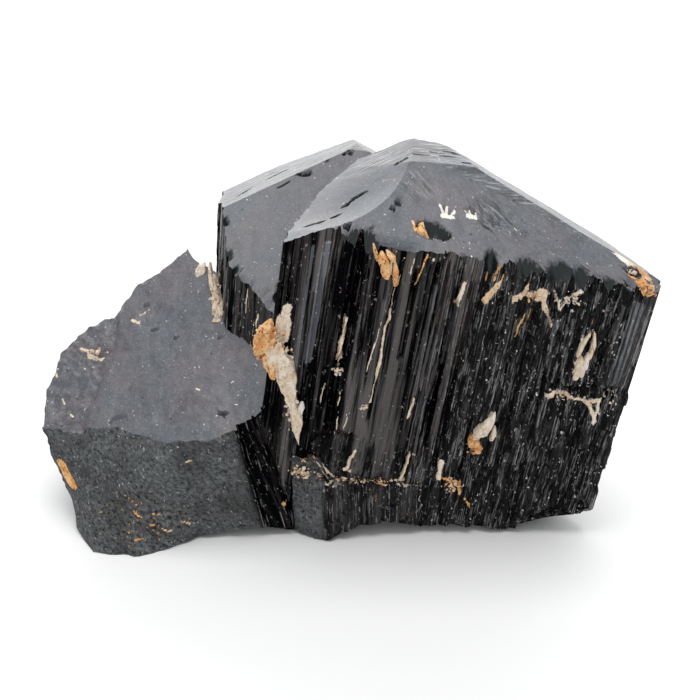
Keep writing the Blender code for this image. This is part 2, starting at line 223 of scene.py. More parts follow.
class Outline:
    """A closed counter-clockwise plan outline, read by corner number or by length."""

    def __init__(self, corners):
        self.loop = np.vstack([corners, corners[:1]]).astype(float)
        self.count = len(corners)
        self.numbers = np.arange(self.count + 1)
        self.stops = np.concatenate([[0.0], np.cumsum(np.linalg.norm(np.diff(self.loop, axis=0), axis=1))])
        self.length = self.stops[-1]

    def at(self, turn):
        """Plan points at corner numbers, with whole numbers at the corners."""
        turn = np.mod(turn, self.count)
        return np.stack([np.interp(turn, self.numbers, self.loop[:, axis]) for axis in (0, 1)], axis=-1)

    def run(self, turn):
        """Length along the outline at corner numbers."""
        rounds = np.floor(turn / self.count)
        return np.interp(np.mod(turn, self.count), self.numbers, self.stops) + rounds * self.length

    def at_run(self, run):
        """Plan points at lengths along the outline."""
        run = np.mod(run, self.length)
        return np.stack([np.interp(run, self.stops, self.loop[:, axis]) for axis in (0, 1)], axis=-1)

    def outward(self, turn, reach):
        """Outward directions, turned smoothly round the corners over a reach."""
        run = self.run(turn)
        step = self.at_run(run + reach) - self.at_run(run - reach)
        normal = np.stack([step[..., 1], -step[..., 0]], axis=-1)
        return normal / np.linalg.norm(normal, axis=-1)[..., None]

    def crossing(self, origin, direction):
        """Corner number where a ray from inside leaves the outline for good."""
        reach, turn = 0.0, None
        for index in range(self.count):
            start, edge = self.loop[index], self.loop[index + 1] - self.loop[index]
            matrix = np.array([[direction[0], -edge[0]], [direction[1], -edge[1]]])
            if abs(np.linalg.det(matrix)) < 1e-9:
                continue
            distance, share = np.linalg.solve(matrix, start - origin)
            if distance > reach and 0.0 <= share < 1.0:
                reach, turn = distance, index + share
        return turn

    def columns(self, start, keys, spacing):
        """Corner numbers once round from start that hit every corner and every key.

        spacing gives the distance between columns at a plan point.
        """
        stops = np.concatenate([self.numbers[:-1], np.array(keys, dtype=float), [start]])
        marks = np.unique(np.round(np.mod(stops - start, self.count), 6))
        marks = np.append(marks[marks < self.count - 1e-4], self.count)
        pieces = []
        for low, high in zip(marks, marks[1:]):
            middle = self.at(np.array(start + (low + high) / 2.0))
            span = self.run(np.array(start + high)) - self.run(np.array(start + low))
            count = max(1, int(round(span / spacing(middle[0], middle[1]))))
            pieces.append(np.linspace(low, high, count, endpoint=False))
        return start + np.concatenate(pieces)


DRAWING = CrystalFrame((0.0, 0.0), (0.0, 0.0))


def ridge_bands(along, height, width, seed, top, changes):
    """Profile of growth ridges: tilted flats side by side, stepping at their edges.

    along is cut into bands of random width. Inside a band the profile is a random
    level plus a random slope times the place across the band, and both change at
    a few random heights below the top.
    """
    rng = np.random.default_rng(seed)
    span = along.max() - along.min() + 4.0 * width
    count = int(span / width) + 4
    edges = along.min() - width + np.cumsum(rng.uniform(0.3, 1.7, count) * width)
    band = np.clip(np.searchsorted(edges, along) - 1, 0, count - 2)
    across = (along - edges[band]) / (edges[band + 1] - edges[band])
    breaks = rng.uniform(0.0, top, (count, changes))
    levels = rng.uniform(-1.0, 1.0, (count, changes + 1))
    slopes = rng.uniform(-1.0, 1.0, (count, changes + 1))
    segment = np.sum(height[..., None] > breaks[band], axis=-1)
    chosen = np.broadcast_to(band, height.shape)
    return levels[chosen, segment] * 0.7 + slopes[chosen, segment] * (across - 0.5)


def add_bands(total, along, height, top, bands):
    """A total with ridge bands added: each is its weight, width, seed and changes."""
    for weight, width, seed, changes in bands:
        total = total + weight * ridge_bands(along, height, width, seed, top, changes)
    return total


# Meshes

def mesh_object(name, vertices, faces, attributes, material):
    """An object from arrays of vertices and faces, with its point attributes."""
    mesh = bpy.data.meshes.new(name)
    flat = np.concatenate([group.reshape(-1) for group in faces]).astype(np.int32)
    sizes = np.concatenate([np.full(len(group), group.shape[1]) for group in faces]).astype(np.int32)
    starts = np.concatenate([[0], np.cumsum(sizes)[:-1]]).astype(np.int32)
    mesh.vertices.add(len(vertices))
    mesh.vertices.foreach_set("co", np.asarray(vertices, dtype=np.float32).reshape(-1))
    mesh.loops.add(len(flat))
    mesh.loops.foreach_set("vertex_index", flat)
    mesh.polygons.add(len(sizes))
    mesh.polygons.foreach_set("loop_start", starts)
    mesh.update(calc_edges=True)
    for key, values in attributes.items():
        kind, field = ('FLOAT_VECTOR', "vector") if np.ndim(values) == 2 else ('FLOAT', "value")
        layer = mesh.attributes.new(key, kind, 'POINT')
        layer.data.foreach_set(field, np.asarray(values, dtype=np.float32).reshape(-1))
    mesh.validate()
    mesh.shade_smooth()
    mesh.set_sharp_from_angle(angle=SHARP_ANGLE)
    mesh.materials.append(material)
    piece = bpy.data.objects.new(name, mesh)
    bpy.context.scene.collection.objects.link(piece)
    return piece


def closed_rings(grid, attributes):
    """Vertices, faces and attributes of a stack of rings closed by a point at each end.

    grid is rings by columns by three. Neighbouring rings are joined by four-sided
    faces that wrap round, and a fan joins each end ring to its middle.
    """
    rings, columns = grid.shape[:2]
    vertices = np.concatenate([grid.reshape(-1, 3), grid[0].mean(axis=0)[None], grid[-1].mean(axis=0)[None]])
    index = np.arange(rings * columns).reshape(rings, columns)
    after = np.roll(index, -1, axis=1)
    quads = np.stack([index[:-1], after[:-1], after[1:], index[1:]], axis=-1).reshape(-1, 4)
    low, high = rings * columns, rings * columns + 1
    first = np.stack([np.full(columns, low), after[0], index[0]], axis=-1)
    last = np.stack([index[-1], after[-1], np.full(columns, high)], axis=-1)
    spread = {
        key: np.concatenate([values.reshape(-1), [values[0].mean(), values[-1].mean()]])
        for key, values in attributes.items()}
    return vertices, [quads, np.concatenate([first, last])], spread


def ridge_direction(first, second, third, corner):
    """Plan direction in which the edge between two faces runs down from a corner."""
    difference = np.subtract(first.rise, second.rise)
    direction = np.array([-difference[1], difference[0]]) / np.linalg.norm(difference)
    step = corner + direction
    return direction if third.height(*step) > first.height(*step) else -direction


def crown_columns(outline, keys, summits, spacing):
    """Columns round an outline, with the summit point that each one runs up to.

    keys are the corner numbers where one face gives way to the next, in order, and
    summits are the two ends of each face's upper edge.
    """
    turns = outline.columns(keys[0], keys[1:], spacing)
    ends = np.array([keys[0] + (key - keys[0]) % outline.count for key in keys] + [keys[0] + outline.count])
    target = np.zeros((len(turns), 2))
    for number, (start, end) in enumerate(summits):
        inside = (turns >= ends[number] - 1e-5) & (turns < ends[number + 1] - 1e-5)
        share = ((turns[inside] - ends[number]) / (ends[number + 1] - ends[number]))[:, None]
        target[inside] = np.array(start) * (1.0 - share) + np.array(end) * share
    return turns, target


def crystal_grid(axes, foot_plan, rim_plan, outward, summit, rows, shapes):
    """Rings of points over a whole crystal: underside, sides and cap in one grid.

    The sides run straight from the foot outline to the rim, pushed outwards by the
    relief. The cap runs from the rim in to the summit polygon, each column on one
    face, so that the edges between faces lie along columns. Returns the places in
    metres, with arrays of x, y and h.
    """
    base_rows, side_rows, cap_rows = rows
    share = np.linspace(0.0, 1.0, side_rows)[:, None]
    plan = foot_plan * (1.0 - share[..., None]) + rim_plan * share[..., None]
    low, top = shapes["base"](*foot_plan.T), shapes["cap"](*rim_plan.T)
    plan = plan + outward * shapes["relief"](plan, low + (top - low) * share)[..., None]
    low, top = shapes["base"](*plan[0].T), shapes["cap"](*plan[-1].T)
    height = low + (top - low) * share
    cap_share = (np.arange(1, cap_rows + 1) / cap_rows)[:, None]
    cap = plan[-1] * (1.0 - cap_share[..., None]) + summit * cap_share[..., None]
    cap = cap + shapes["bend"](cap_share)
    base_share = np.linspace(0.1, 1.0, base_rows, endpoint=False)[:, None, None]
    base = plan[0].mean(axis=0) * (1.0 - base_share) + plan[0] * base_share
    whole = np.concatenate([base, plan, cap])
    x, y = whole[..., 0], whole[..., 1]
    below, above = shapes["base"](*np.moveaxis(base, -1, 0)), shapes["cap"](*np.moveaxis(cap, -1, 0))
    h = np.concatenate([below, height, above])
    return axes.place(x, y, h), x, y, h


# Shader expressions

class Wire:
    """A socket that arithmetic can be done with; each operation adds a Math node."""

    def __init__(self, tree, socket):
        self.tree = tree
        self.socket = socket

    def _math(self, operation, first, second):
        node = self.tree.nodes.new("ShaderNodeMath")
        node.operation = operation
        for slot, value in zip(node.inputs, (first, second)):
            if isinstance(value, Wire):
                self.tree.links.new(value.socket, slot)
            else:
                slot.default_value = value
        return Wire(self.tree, node.outputs[0])

    def __add__(self, other):
        return self._math('ADD', self, other)

    __radd__ = __add__

    def __mul__(self, other):
        return self._math('MULTIPLY', self, other)

    __rmul__ = __mul__

    def __sub__(self, other):
        return self._math('SUBTRACT', self, other)

    def __rsub__(self, other):
        return self._math('SUBTRACT', other, self)


class Surface:
    """A material that is written as expressions."""

    def __init__(self, name):
        self.material = bpy.data.materials.new(name)
        self.material.use_nodes = True
        self.tree = self.material.node_tree
        self.shader = self.tree.nodes["Principled BSDF"]

    def fill(self, node, sockets):
        """Set or link a node's sockets, which are given by name or number."""
        for key, value in sockets.items():
            if isinstance(value, Wire):
                self.tree.links.new(value.socket, node.inputs[key])
            else:
                node.inputs[key].default_value = value

    def node(self, kind, settings=None, sockets=None, output=0):
        """One node, with its settings set first and then its sockets."""
        node = self.tree.nodes.new(kind)
        for key, value in (settings or {}).items():
            setattr(node, key, value)
        self.fill(node, sockets or {})
        return Wire(self.tree, node.outputs[output])

    def finish(self, sockets):
        """Set or link the shader's sockets and return the material."""
        self.fill(self.shader, sockets)
        return self.material

    def attribute(self, name, output="Fac"):
        """A value stored on the mesh."""
        return self.node("ShaderNodeAttribute", {"attribute_name": name}, output=output)

    def position(self):
        """Object coordinates in metres."""
        return self.node("ShaderNodeTexCoord", output="Object")

    def scaled(self, vector, factors):
        """A vector pressed or stretched along its axes."""
        return self.node("ShaderNodeVectorMath", {"operation": 'MULTIPLY'}, {0: vector, 1: factors})

    def noise(self, vector, size, detail=3.0, roughness=0.5):
        """Noise of about a given size in metres."""
        sockets = {"Vector": vector, "Scale": 1.0 / size, "Detail": detail, "Roughness": roughness}
        return self.node("ShaderNodeTexNoise", {}, sockets)

    def cells(self, vector, size):
        """Distance to the nearest centre of a cell pattern of about a given size in metres."""
        return self.node("ShaderNodeTexVoronoi", {}, {"Vector": vector, "Scale": 1.0 / size}, "Distance")

    def step(self, value, low, high):
        """0 below low and 1 above high, straight between."""
        sockets = {"Value": value, "From Min": low, "From Max": high}
        return self.node("ShaderNodeMapRange", {}, sockets)

    def blend(self, share, first, second):
        """A colour between two colours."""
        return self.node("ShaderNodeMix", {"data_type": 'RGBA'}, {0: share, 6: first, 7: second}, 2)

    def bump(self, height, distance, strength=1.0, under=None):
        """A normal bent by a height from 0 to 1 over a distance in metres."""
        sockets = {"Height": height, "Distance": distance, "Strength": strength}
        if under is not None:
            sockets["Normal"] = under
        return self.node("ShaderNodeBump", {}, sockets)


# Shapes of the prism crystals

# Higher than any crystal, so that it never counts as the lowest.
NO_LIMIT = 999.0
# How far from a wide line's edge its field reaches 1, and how deep slots are.
SOFT_EDGE = 0.7
SLOT_DEPTH = 0.6
# How far noise moves lines aside: in slots, on tops and in shining bands.
SLOT_WANDER = 0.12
TOP_WANDER = 0.06
SHEEN_WANDER = 0.04
# Slope at which an edge gets its full painted gleam.
GLEAM_SLOPE = 0.26
# How much streaks are drawn out along their run.
STREAK_DRAW = 0.1


def chips_height(x, y, chips):
    """Height of the lowest hollow at plan points: each is a bowl, open upwards.

    A bowl is (centre x, centre y, floor height, radius x, radius y, depth), and it
    rises from its floor by depth times the square of the distance in radii.
    """
    lowest = np.full(x.shape, NO_LIMIT)
    for centre_x, centre_y, floor, reach_x, reach_y, depth in chips:
        spread = ((x - centre_x) / reach_x) ** 2 + ((y - centre_y) / reach_y) ** 2
        lowest = np.minimum(lowest, floor + depth * spread)
    return lowest


def chipped_cap(plain, chips, slots, seed):
    """A top's height at plan points: the plain top with its hollows and slots cut in."""
    def cap(x, y):
        cut = line_depth(x, y, slots, SLOT_WANDER)
        height = plain(x, y) - SLOT_DEPTH * smooth_step(0.42, 0.62, cut)
        uneven = 0.35 * rough_noise(flat_points(x, y), 1.1, seed, 4)
        return np.minimum(height, chips_height(x, y, chips) + uneven)

    return cap


def groove_depth(x, h, grooves):
    """Depth of long grooves: each follows a line of (h, x) points up the front.

    Across the line the depth falls off as 1 - distance / width, and it fades out
    over a short length at both ends.
    """
    total = np.zeros(np.broadcast(x, h).shape)
    for points, width, depth in grooves:
        heights, places = zip(*points)
        distance = np.abs(x - np.interp(h, heights, places))
        ends = smooth_step(heights[0] - 1.0, heights[0] + 1.0, h)
        ends = ends * smooth_step(heights[-1] + 0.8, heights[-1] - 0.8, h)
        total = np.maximum(total, depth * ends * np.clip(1.4 * (1.0 - distance / width), 0.0, 1.0))
    return total


def patch(x, h, centre, reach):
    """1 in the middle of an oval patch, falling smoothly to 0 at its rim."""
    distance = np.hypot((x - centre[0]) / reach[0], (h - centre[1]) / reach[1])
    return 1.0 - smooth_step(0.55, 1.0, distance)


def line_field(x, h, lines, wander=0.16):
    """How deep inside a mineral-filled line each place is, and its rust.

    The field is 1 on a line's middle, a half at its edge, and falls on at the same
    rate outside. A wide line is 1 all over but near its edge. A line is its points,
    its width and its rust. Wander is how far noise moves a narrow line aside, and a
    wide one moves less.
    """
    field = np.zeros(x.shape)
    rust = np.zeros(x.shape)
    place = flat_points(x, h)
    aside = wander * rough_noise(place, 1.6, 91, 3)
    along = wander * rough_noise(place, 1.6, 95, 3)
    for points, width, stain in lines:
        calm = min(1.0, 0.5 / width)
        for start, end in zip(points, points[1:]):
            step = np.subtract(end, start)
            left, down = x + calm * aside - start[0], h + calm * along - start[1]
            share = np.clip((left * step[0] + down * step[1]) / (step @ step), 0.0, 1.0)
            distance = np.hypot(left - share * step[0], down - share * step[1])
            value = np.minimum(0.5 + (width / 2.0 - distance) / min(width, SOFT_EDGE), 1.0)
            rust = np.where(value > field, stain, rust)
            field = np.maximum(field, value)
    return field, rust


def line_depth(x, h, lines, wander):
    """The field of lines that have no rust: each is its points and its width."""
    return line_field(x, h, [(points, width, 0.0) for points, width in lines], wander)[0]


def edge_gleam(x, y, outward):
    """How sharply each point stands out from its two neighbours along the ring.

    The height is taken relative to the distance between neighbours. The side
    material paints a pale glint where it is high.
    """
    before_x, after_x = np.roll(x, 1, axis=1), np.roll(x, -1, axis=1)
    before_y, after_y = np.roll(y, 1, axis=1), np.roll(y, -1, axis=1)
    reach = np.hypot(before_x - after_x, before_y - after_y)
    aside_x, aside_y = x - (before_x + after_x) / 2.0, y - (before_y + after_y) / 2.0
    height = aside_x * outward[:, 0] + aside_y * outward[:, 1]
    return np.clip(height / np.maximum(reach, 0.1) / GLEAM_SLOPE - 0.2, 0.0, 1.0)


def flat_lift(x, y, spots):
    """How much a frosted face rises and falls: long soft waves, spots and fine grain."""
    points = flat_points(x, y)
    total = 0.14 * soft_noise(points, 5.0, 31) + 0.05 * rough_noise(points, 1.2, 32, 3)
    for centre, reach, rise in spots:
        total = total + rise * patch(x, y, centre, reach)
    return total


def crystal_piece(name, grid, traits, rows, materials):
    """A closed crystal mesh, with its side and top materials and what they read.

    traits are arrays over the grid: axes is the place in the crystal's own frame
    and lay the place that streaks follow.
    """
    x, y, h = traits.pop("axes")
    along, aside = traits.pop("lay", (x, y))
    fields = {"across": x, "deep": y, "rise": h, "along": along, "aside": aside}
    fields.update({key: np.broadcast_to(value, x.shape) for key, value in traits.items()})
    vertices, faces, spread = closed_rings(grid, fields)
    place = [spread.pop(key) for key in ("across", "deep", "rise")]
    spread["axes"] = np.stack(place, axis=-1) * MM
    along, aside = spread.pop("along"), spread.pop("aside")
    spread["lay"] = flat_points(along, aside) * MM
    columns = x.shape[1]
    top_start = (rows[0] + rows[1] - 1) * columns
    numbers = np.zeros(len(faces[0]) + len(faces[1]), dtype=np.int32)
    numbers[top_start:len(faces[0])] = 1
    numbers[len(faces[0]) + columns:] = 1
    piece = mesh_object(name, vertices, faces, spread, materials[0])
    piece.data.materials.append(materials[1])
    piece.data.polygons.foreach_set("material_index", numbers)
    return piece


def streak_lay(x, y, angle):
    """Plan places turned by an angle and drawn together along it, where streaks run so."""
    along = x * np.cos(angle) + y * np.sin(angle)
    return STREAK_DRAW * along, y * np.cos(angle) - x * np.sin(angle)


# The large prism

# Hollows in its upper faces: plan centre, floor height, reach and depth.
MAIN_CHIPS = [
    (-22.4, -1.6, 39.6, 2.6, 1.7, 2.0), (-14.4, 1.8, 41.2, 1.7, 1.0, 1.3),
    (-13.2, 1.5, 41.0, 1.1, 0.6, 1.2), (-7.0, -1.6, 39.0, 0.8, 1.7, 1.6),
    (-2.2, -1.9, 39.0, 2.2, 1.9, 1.8), (1.6, -2.0, 38.4, 1.7, 2.2, 1.9),
    (4.4, -1.8, 38.3, 1.4, 1.9, 1.9), (7.4, -1.6, 39.0, 1.3, 1.3, 1.8),
    (10.0, -1.2, 39.4, 0.8, 1.0, 1.6), (12.3, -1.0, 39.2, 1.0, 0.9, 1.6),
    (-10.4, -1.5, 40.1, 0.8, 0.8, 1.8), (-12.6, -1.5, 40.3, 0.6, 0.7, 1.8),
    (-4.8, -1.5, 39.6, 0.6, 0.9, 1.8), (-17.2, -1.4, 40.5, 0.8, 0.6, 1.8),
    (11.0, 0.9, 40.2, 1.2, 0.5, 0.9), (-18.6, 4.6, 44.1, 0.5, 0.5, 0.6),
    (-22.3, -0.1, 41.9, 0.35, 0.6, 0.8), (-21.6, 0.9, 42.5, 0.5, 0.2, 0.6),
    (-24.5, 0.6, 41.6, 0.4, 0.3, 0.8), (-12.6, 4.5, 44.2, 0.7, 0.3, 0.9),
    (-9.7, 5.1, 44.3, 0.7, 0.3, 0.9),
]
# Narrow slots in them: (x, y) points and width.
MAIN_SLOTS = [
    ([(-24.8, 7.5), (-24.0, 8.4)], 0.40), ([(-23.7, 8.8), (-23.1, 9.1), (-22.6, 9.3)], 0.60),
    ([(-26.1, 5.1), (-25.6, 5.5)], 0.50), ([(-29.0, 3.7), (-27.4, 4.2)], 0.50),
    ([(-19.4, 4.0), (-19.1, 3.7)], 0.34), ([(-18.9, 12.1), (-17.8, 12.4)], 0.34),
    ([(-16.4, 13.6), (-15.2, 13.2)], 0.22), ([(-14.0, 14.7), (-11.8, 13.6)], 0.18),
    ([(-12.2, 15.6), (-9.4, 14.1)], 0.18), ([(-10.4, 13.0), (-8.6, 12.2)], 0.16),
    ([(-8.2, 3.9), (-7.0, 3.1)], 0.14),
]
# Long grooves of its front: line of (height, x) points, half width, depth.
MAIN_GROOVES = [
    (((17.0, -25.9), (30.0, -25.8), (42.0, -25.5)), 0.34, 0.8),
    (((14.0, -23.2), (29.0, -23.0), (41.5, -22.7)), 0.80, 1.1),
    (((16.0, -18.2), (26.4, -18.0), (33.2, -17.9), (38.0, -17.5)), 0.3, 0.35),
    (((24.0, -20.9), (38.0, -21.2)), 0.16, 0.3), (((19.0, -13.5), (40.0, -13.2)), 0.35, 0.6),
    (((26.0, -15.6), (38.5, -15.5)), 0.5, 0.55), (((8.0, -11.9), (40.0, -11.8)), 0.25, 0.5),
    (((12.0, -10.2), (39.0, -10.2)), 0.4, 0.7), (((10.0, -8.3), (38.0, -8.5)), 0.6, 0.9),
    (((8.0, -4.6), (36.0, -4.9)), 0.5, 0.9), (((8.0, 0.2), (36.0, -0.6)), 0.7, 1.0),
    (((26.0, 5.8), (36.0, 5.2)), 0.7, 0.9), (((8.0, 3.4), (30.0, 3.0)), 0.4, 0.8),
    (((10.0, 9.4), (38.0, 9.7)), 0.5, 0.7), (((26.0, 11.5), (38.0, 11.5)), 0.2, 0.35),
    (((12.0, -29.4), (41.0, -29.6)), 0.22, 0.35), (((12.0, -30.4), (41.0, -30.5)), 0.16, 0.3),
    (((10.0, -31.2), (40.0, -31.2)), 0.16, 0.25), (((10.0, -27.2), (34.0, -27.4)), 0.12, 0.2),
]
# Feldspar lines in the front: (x, height) points, width, rust.
MAIN_LINES = [
    ([(-23.1, 24.6), (-23.05, 27.5), (-22.95, 31.3)], 0.46, 0.1),
    ([(-23.6, 23.3), (-23.0, 23.7), (-22.4, 23.2)], 0.34, 0.0),
    ([(-18.25, 19.4), (-18.05, 23.0)], 0.16, 0.1),
    ([(-18.05, 23.0), (-18.0, 28.5), (-17.85, 33.0)], 0.30, 0.25),
    ([(-17.85, 33.0), (-17.5, 38.0)], 0.10, 0.2),
    ([(-19.3, 24.0), (-19.0, 28.0), (-18.7, 31.0)], 0.14, 0.1),
    ([(-19.4, 18.0), (-18.8, 18.6), (-18.2, 19.4)], 0.30, 0.1),
    ([(-21.1, 14.6), (-20.9, 17.2)], 0.12, 0.1), ([(-22.1, 13.0), (-21.9, 16.4)], 0.14, 0.0),
    ([(-24.6, 18.0), (-24.4, 20.8)], 0.12, 0.0), ([(-22.4, 18.0), (-22.3, 20.6)], 0.12, 0.0),
    ([(-16.3, 38.2), (-16.2, 40.6)], 0.12, 0.1),
    ([(-15.6, 36.8), (-15.2, 38.4), (-14.6, 41.2)], 0.18, 0.75),
    ([(-13.2, 17.6), (-13.0, 19.0), (-12.7, 20.8)], 0.30, 0.1),
    ([(-14.8, 40.6), (-12.0, 40.9)], 0.14, 0.2),
    ([(-10.1, 35.0), (-9.8, 36.4), (-9.5, 38.0)], 0.5, 0.1),
    ([(-6.8, 36.0), (-6.4, 37.0), (-5.6, 38.6)], 0.75, 0.5), ([(-6.4, 38.8), (-6.0, 41.0)], 0.34, 1.0),
    ([(-7.2, 38.6), (-7.0, 40.6)], 0.16, 1.0), ([(-5.4, 38.8), (-5.0, 40.4)], 0.12, 0.9),
    ([(-3.3, 36.7), (-2.2, 37.5), (-1.0, 37.7), (0.2, 38.2)], 0.85, 0.35),
    ([(-2.6, 37.4), (-2.0, 39.0)], 0.4, 0.1), ([(-0.4, 38.4), (-0.2, 37.0)], 0.6, 0.0),
    ([(0.2, 37.9), (0.5, 36.4), (1.1, 35.4)], 0.55, 0.2),
    ([(1.1, 35.4), (1.9, 34.2), (2.2, 33.2)], 0.26, 0.0),
    ([(1.8, 36.9), (3.2, 37.6), (4.6, 38.8)], 0.42, -0.5), ([(2.4, 36.2), (4.2, 37.2)], 0.34, -0.6),
    ([(1.4, 38.2), (2.6, 36.0)], 0.24, -0.4), ([(-1.6, 34.6), (-2.0, 31.6)], 0.20, 1.0),
    ([(-0.9, 35.6), (-1.2, 33.0)], 0.16, 1.0), ([(7.0, 34.4), (6.9, 35.6)], 0.14, 0.9),
    ([(6.3, 32.6), (6.5, 30.2), (6.6, 27.0)], 0.22, 0.1),
    ([(7.9, 33.4), (7.6, 30.4), (7.2, 27.4)], 0.16, 0.2), ([(6.5, 28.4), (7.0, 26.6)], 0.42, 0.05),
    ([(3.8, 23.2), (5.0, 24.3), (6.2, 24.1), (7.2, 23.4)], 0.55, 0.1),
    ([(7.6, 23.3), (9.4, 23.4), (11.2, 24.2)], 0.5, 0.0),
    ([(9.2, 23.2), (10.3, 21.6), (10.7, 20.2)], 0.55, 0.15), ([(10.6, 23.6), (10.9, 21.6)], 0.4, -0.4),
    ([(11.0, 24.8), (12.0, 25.2), (13.2, 25.6)], 0.1, 0.0),
    ([(-2.4, 19.8), (-2.9, 18.4), (-3.4, 17.2)], 0.55, 0.1), ([(-3.4, 17.2), (-4.2, 16.0)], 0.6, 0.5),
    ([(-4.1, 15.9), (-3.2, 14.6)], 0.5, 1.0), ([(-1.9, 17.6), (-1.6, 16.2)], 0.3, 0.2),
    ([(-7.6, 11.2), (-7.4, 9.4), (-7.5, 8.2)], 0.6, 0.1),
    ([(-7.0, 8.6), (-4.6, 8.0), (-4.2, 6.6)], 0.5, 0.9), ([(-3.4, 5.4), (-2.4, 4.2)], 0.34, 1.0),
    ([(-14.0, 7.4), (-11.8, 7.3)], 0.16, 0.0), ([(-19.8, 8.2), (-19.2, 11.2)], 0.42, 0.1),
    ([(-20.1, 8.0), (-19.4, 8.0)], 0.5, 0.1), ([(-12.4, 7.6), (-12.0, 11.8)], 0.40, 0.1),
    ([(-12.9, 7.4), (-12.0, 7.4)], 0.5, 0.2), ([(-12.8, 4.2), (-11.6, 3.8)], 0.3, 0.6),
    ([(12.6, 40.6), (11.0, 42.0)], 0.3, 0.9), ([(9.2, 42.6), (10.6, 42.0)], 0.24, 0.0),
    ([(13.4, 39.8), (12.0, 40.4)], 0.3, 1.0), ([(-30.6, 26.6), (-30.5, 29.0)], 1.9, -0.3),
    ([(-30.5, 29.0), (-30.2, 31.0)], 1.1, -0.3),
]
# White crowns and flecks on its top: (x, y) points, width, rust.
MAIN_TOP_LINES = [
    ([(-13.5, 5.5), (-12.8, 4.4)], 0.30, -1.0), ([(-13.0, 4.9), (-12.9, 4.3)], 0.4, -1.0),
    ([(-12.6, 5.4), (-12.6, 4.2)], 0.34, -1.0), ([(-13.1, 4.2), (-12.2, 4.1)], 0.62, -1.0),
    ([(-11.7, 4.9), (-12.3, 4.1)], 0.4, -1.0), ([(-11.6, 4.1), (-12.4, 3.9)], 0.26, -0.5),
    ([(-10.4, 5.6), (-9.9, 4.9)], 0.26, -1.0), ([(-10.0, 4.7), (-9.4, 4.6)], 0.60, -1.0),
    ([(-9.7, 5.6), (-9.6, 4.8)], 0.30, -1.0), ([(-9.0, 5.2), (-9.4, 4.7)], 0.36, -1.0),
    ([(-8.9, 4.5), (-9.4, 4.5)], 0.22, -0.5), ([(-4.9, 3.0), (-4.2, 4.0), (-3.6, 3.0)], 0.10, -0.2),
    ([(-14.2, 0.8), (-12.8, 0.5)], 0.2, 0.0), ([(-16.8, 2.6), (-16.3, 1.4)], 0.3, 0.9),
    ([(-11.8, 1.2), (-11.6, 1.1)], 0.24, 0.6), ([(-10.0, 1.1), (-9.8, 1.0)], 0.2, 0.6),
    ([(-8.8, 1.3), (-8.6, 1.2)], 0.2, 0.6), ([(8.9, 3.0), (9.9, 2.2)], 0.9, -0.7),
    ([(10.2, 2.2), (10.9, 1.8)], 0.6, 0.4), ([(10.2, 0.7), (11.6, 0.3)], 0.9, 1.0),
    ([(11.4, -0.2), (13.0, -0.6)], 1.0, 1.0), ([(11.8, 1.2), (12.6, 0.6)], 0.5, 0.6),
    ([(8.4, 2.9), (9.0, 2.6)], 0.2, 0.0), ([(0.2, 1.6), (0.8, 1.4)], 0.12, 0.0),
    ([(4.0, 1.2), (4.4, 1.1)], 0.12, 0.0),
]
# Smooth bands painted with an even pale sheen: (x, height) points and width.
SHEEN_LINES = [
    ([(11.9, 37.6), (11.6, 26.2)], 1.5), ([(2.5, 34.4), (3.3, 27.2)], 0.55),
    ([(4.6, 34.6), (5.2, 30.8)], 0.4), ([(10.2, 37.4), (9.9, 33.0)], 0.3),
    ([(-9.9, 38.0), (-10.2, 26.0)], 0.26), ([(-26.6, 40.4), (-26.9, 24.0)], 0.9),
    ([(-11.6, 30.0), (-11.9, 16.0)], 0.28), ([(-13.0, 37.0), (-13.3, 24.0)], 0.2),
    ([(-28.2, 40.0), (-28.4, 22.0)], 0.3), ([(0.9, 13.6), (0.8, 8.6)], 0.3),
    ([(-0.4, 31.0), (-0.6, 27.0)], 0.3), ([(13.3, 38.0), (13.2, 24.0)], 0.16),
]
# How much each part of the front shines, along x: its coat weight and the pale shine painted into its colour.
SHINE_PLACES = (
    -32.0, -29.0, -28.6, -25.8, -25.4, -24.2, -23.8, -22.2, -21.6,
    -17.8, -17.4, -13.4, -12.8, -8.4, -7.6, 1.0, 6.0, 14.0)
SHINE_LEVELS = (0.25, 0.25, 0.9, 0.9, 0.5, 0.5, 0.02, 0.02, 0.9, 0.9, 0.75, 0.7, 0.85, 0.7, 0.35, 0.16, 0.16, 0.4)
# Rings of the underside, the sides and the cap.
MAIN_ROWS = (3, 88, 34)
# How far the edge between the left and front upper faces bows.
EDGE_BULGE = -1.9
# Top of the heights at which growth ridges change.
MAIN_RIDGE_TOP = 45.0
# Spots that rise or sink: centre, reach and rise.
MAIN_SPOTS = [
    ((-12.6, 4.9), (0.9, 0.5), -0.35), ((-9.7, 5.5), (0.9, 0.5), -0.35), ((-4.2, 3.8), (1.6, 1.0), 0.3),
]
# How high the chipped lower edge is in front, along x.
FOOT_PLACES = (
    -32.0, -24.0, -19.0, -15.5, -12.0, -9.4, -7.0, -4.5, -2.0,
    0.6, 3.0, 4.4, 5.6, 8.0, 10.5, 12.0, 16.0)
FOOT_LIFTS = (0.0, 0.0, 1.0, 2.7, 2.7, 1.0, 1.2, 1.5, 1.2, 1.2, 0.3, 0.6, 3.2, 4.6, 4.4, 3.5, 2.0)


def front_share(y):
    """1 on the large prism's front, falling to 0 behind it."""
    return 1.0 - smooth_step(1.0, 3.0, y)


def main_zone(x, y, h):
    """How ridged and how broken the large prism's sides are at each place, from 0 to 1."""
    front = front_share(y)
    ridged = 0.25 + 0.65 * smooth_step(-13.8, -12.4, x) + 0.4 * (1.0 - smooth_step(-29.6, -28.8, x))
    ridged = ridged * front + 0.6 * (1.0 - front)
    smooth_corner = smooth_step(11.0, 11.8, x) * smooth_step(24.5, 27.0, h)
    broken = smooth_step(-9.5, -5.5, x) * (1.0 - 0.9 * smooth_corner)
    low = smooth_step(15.0, 8.0, h) * smooth_step(-25.0, -22.0, x)
    broken = np.maximum(broken, 0.8 * low) * front + 0.2 * (1.0 - front)
    return ridged, broken


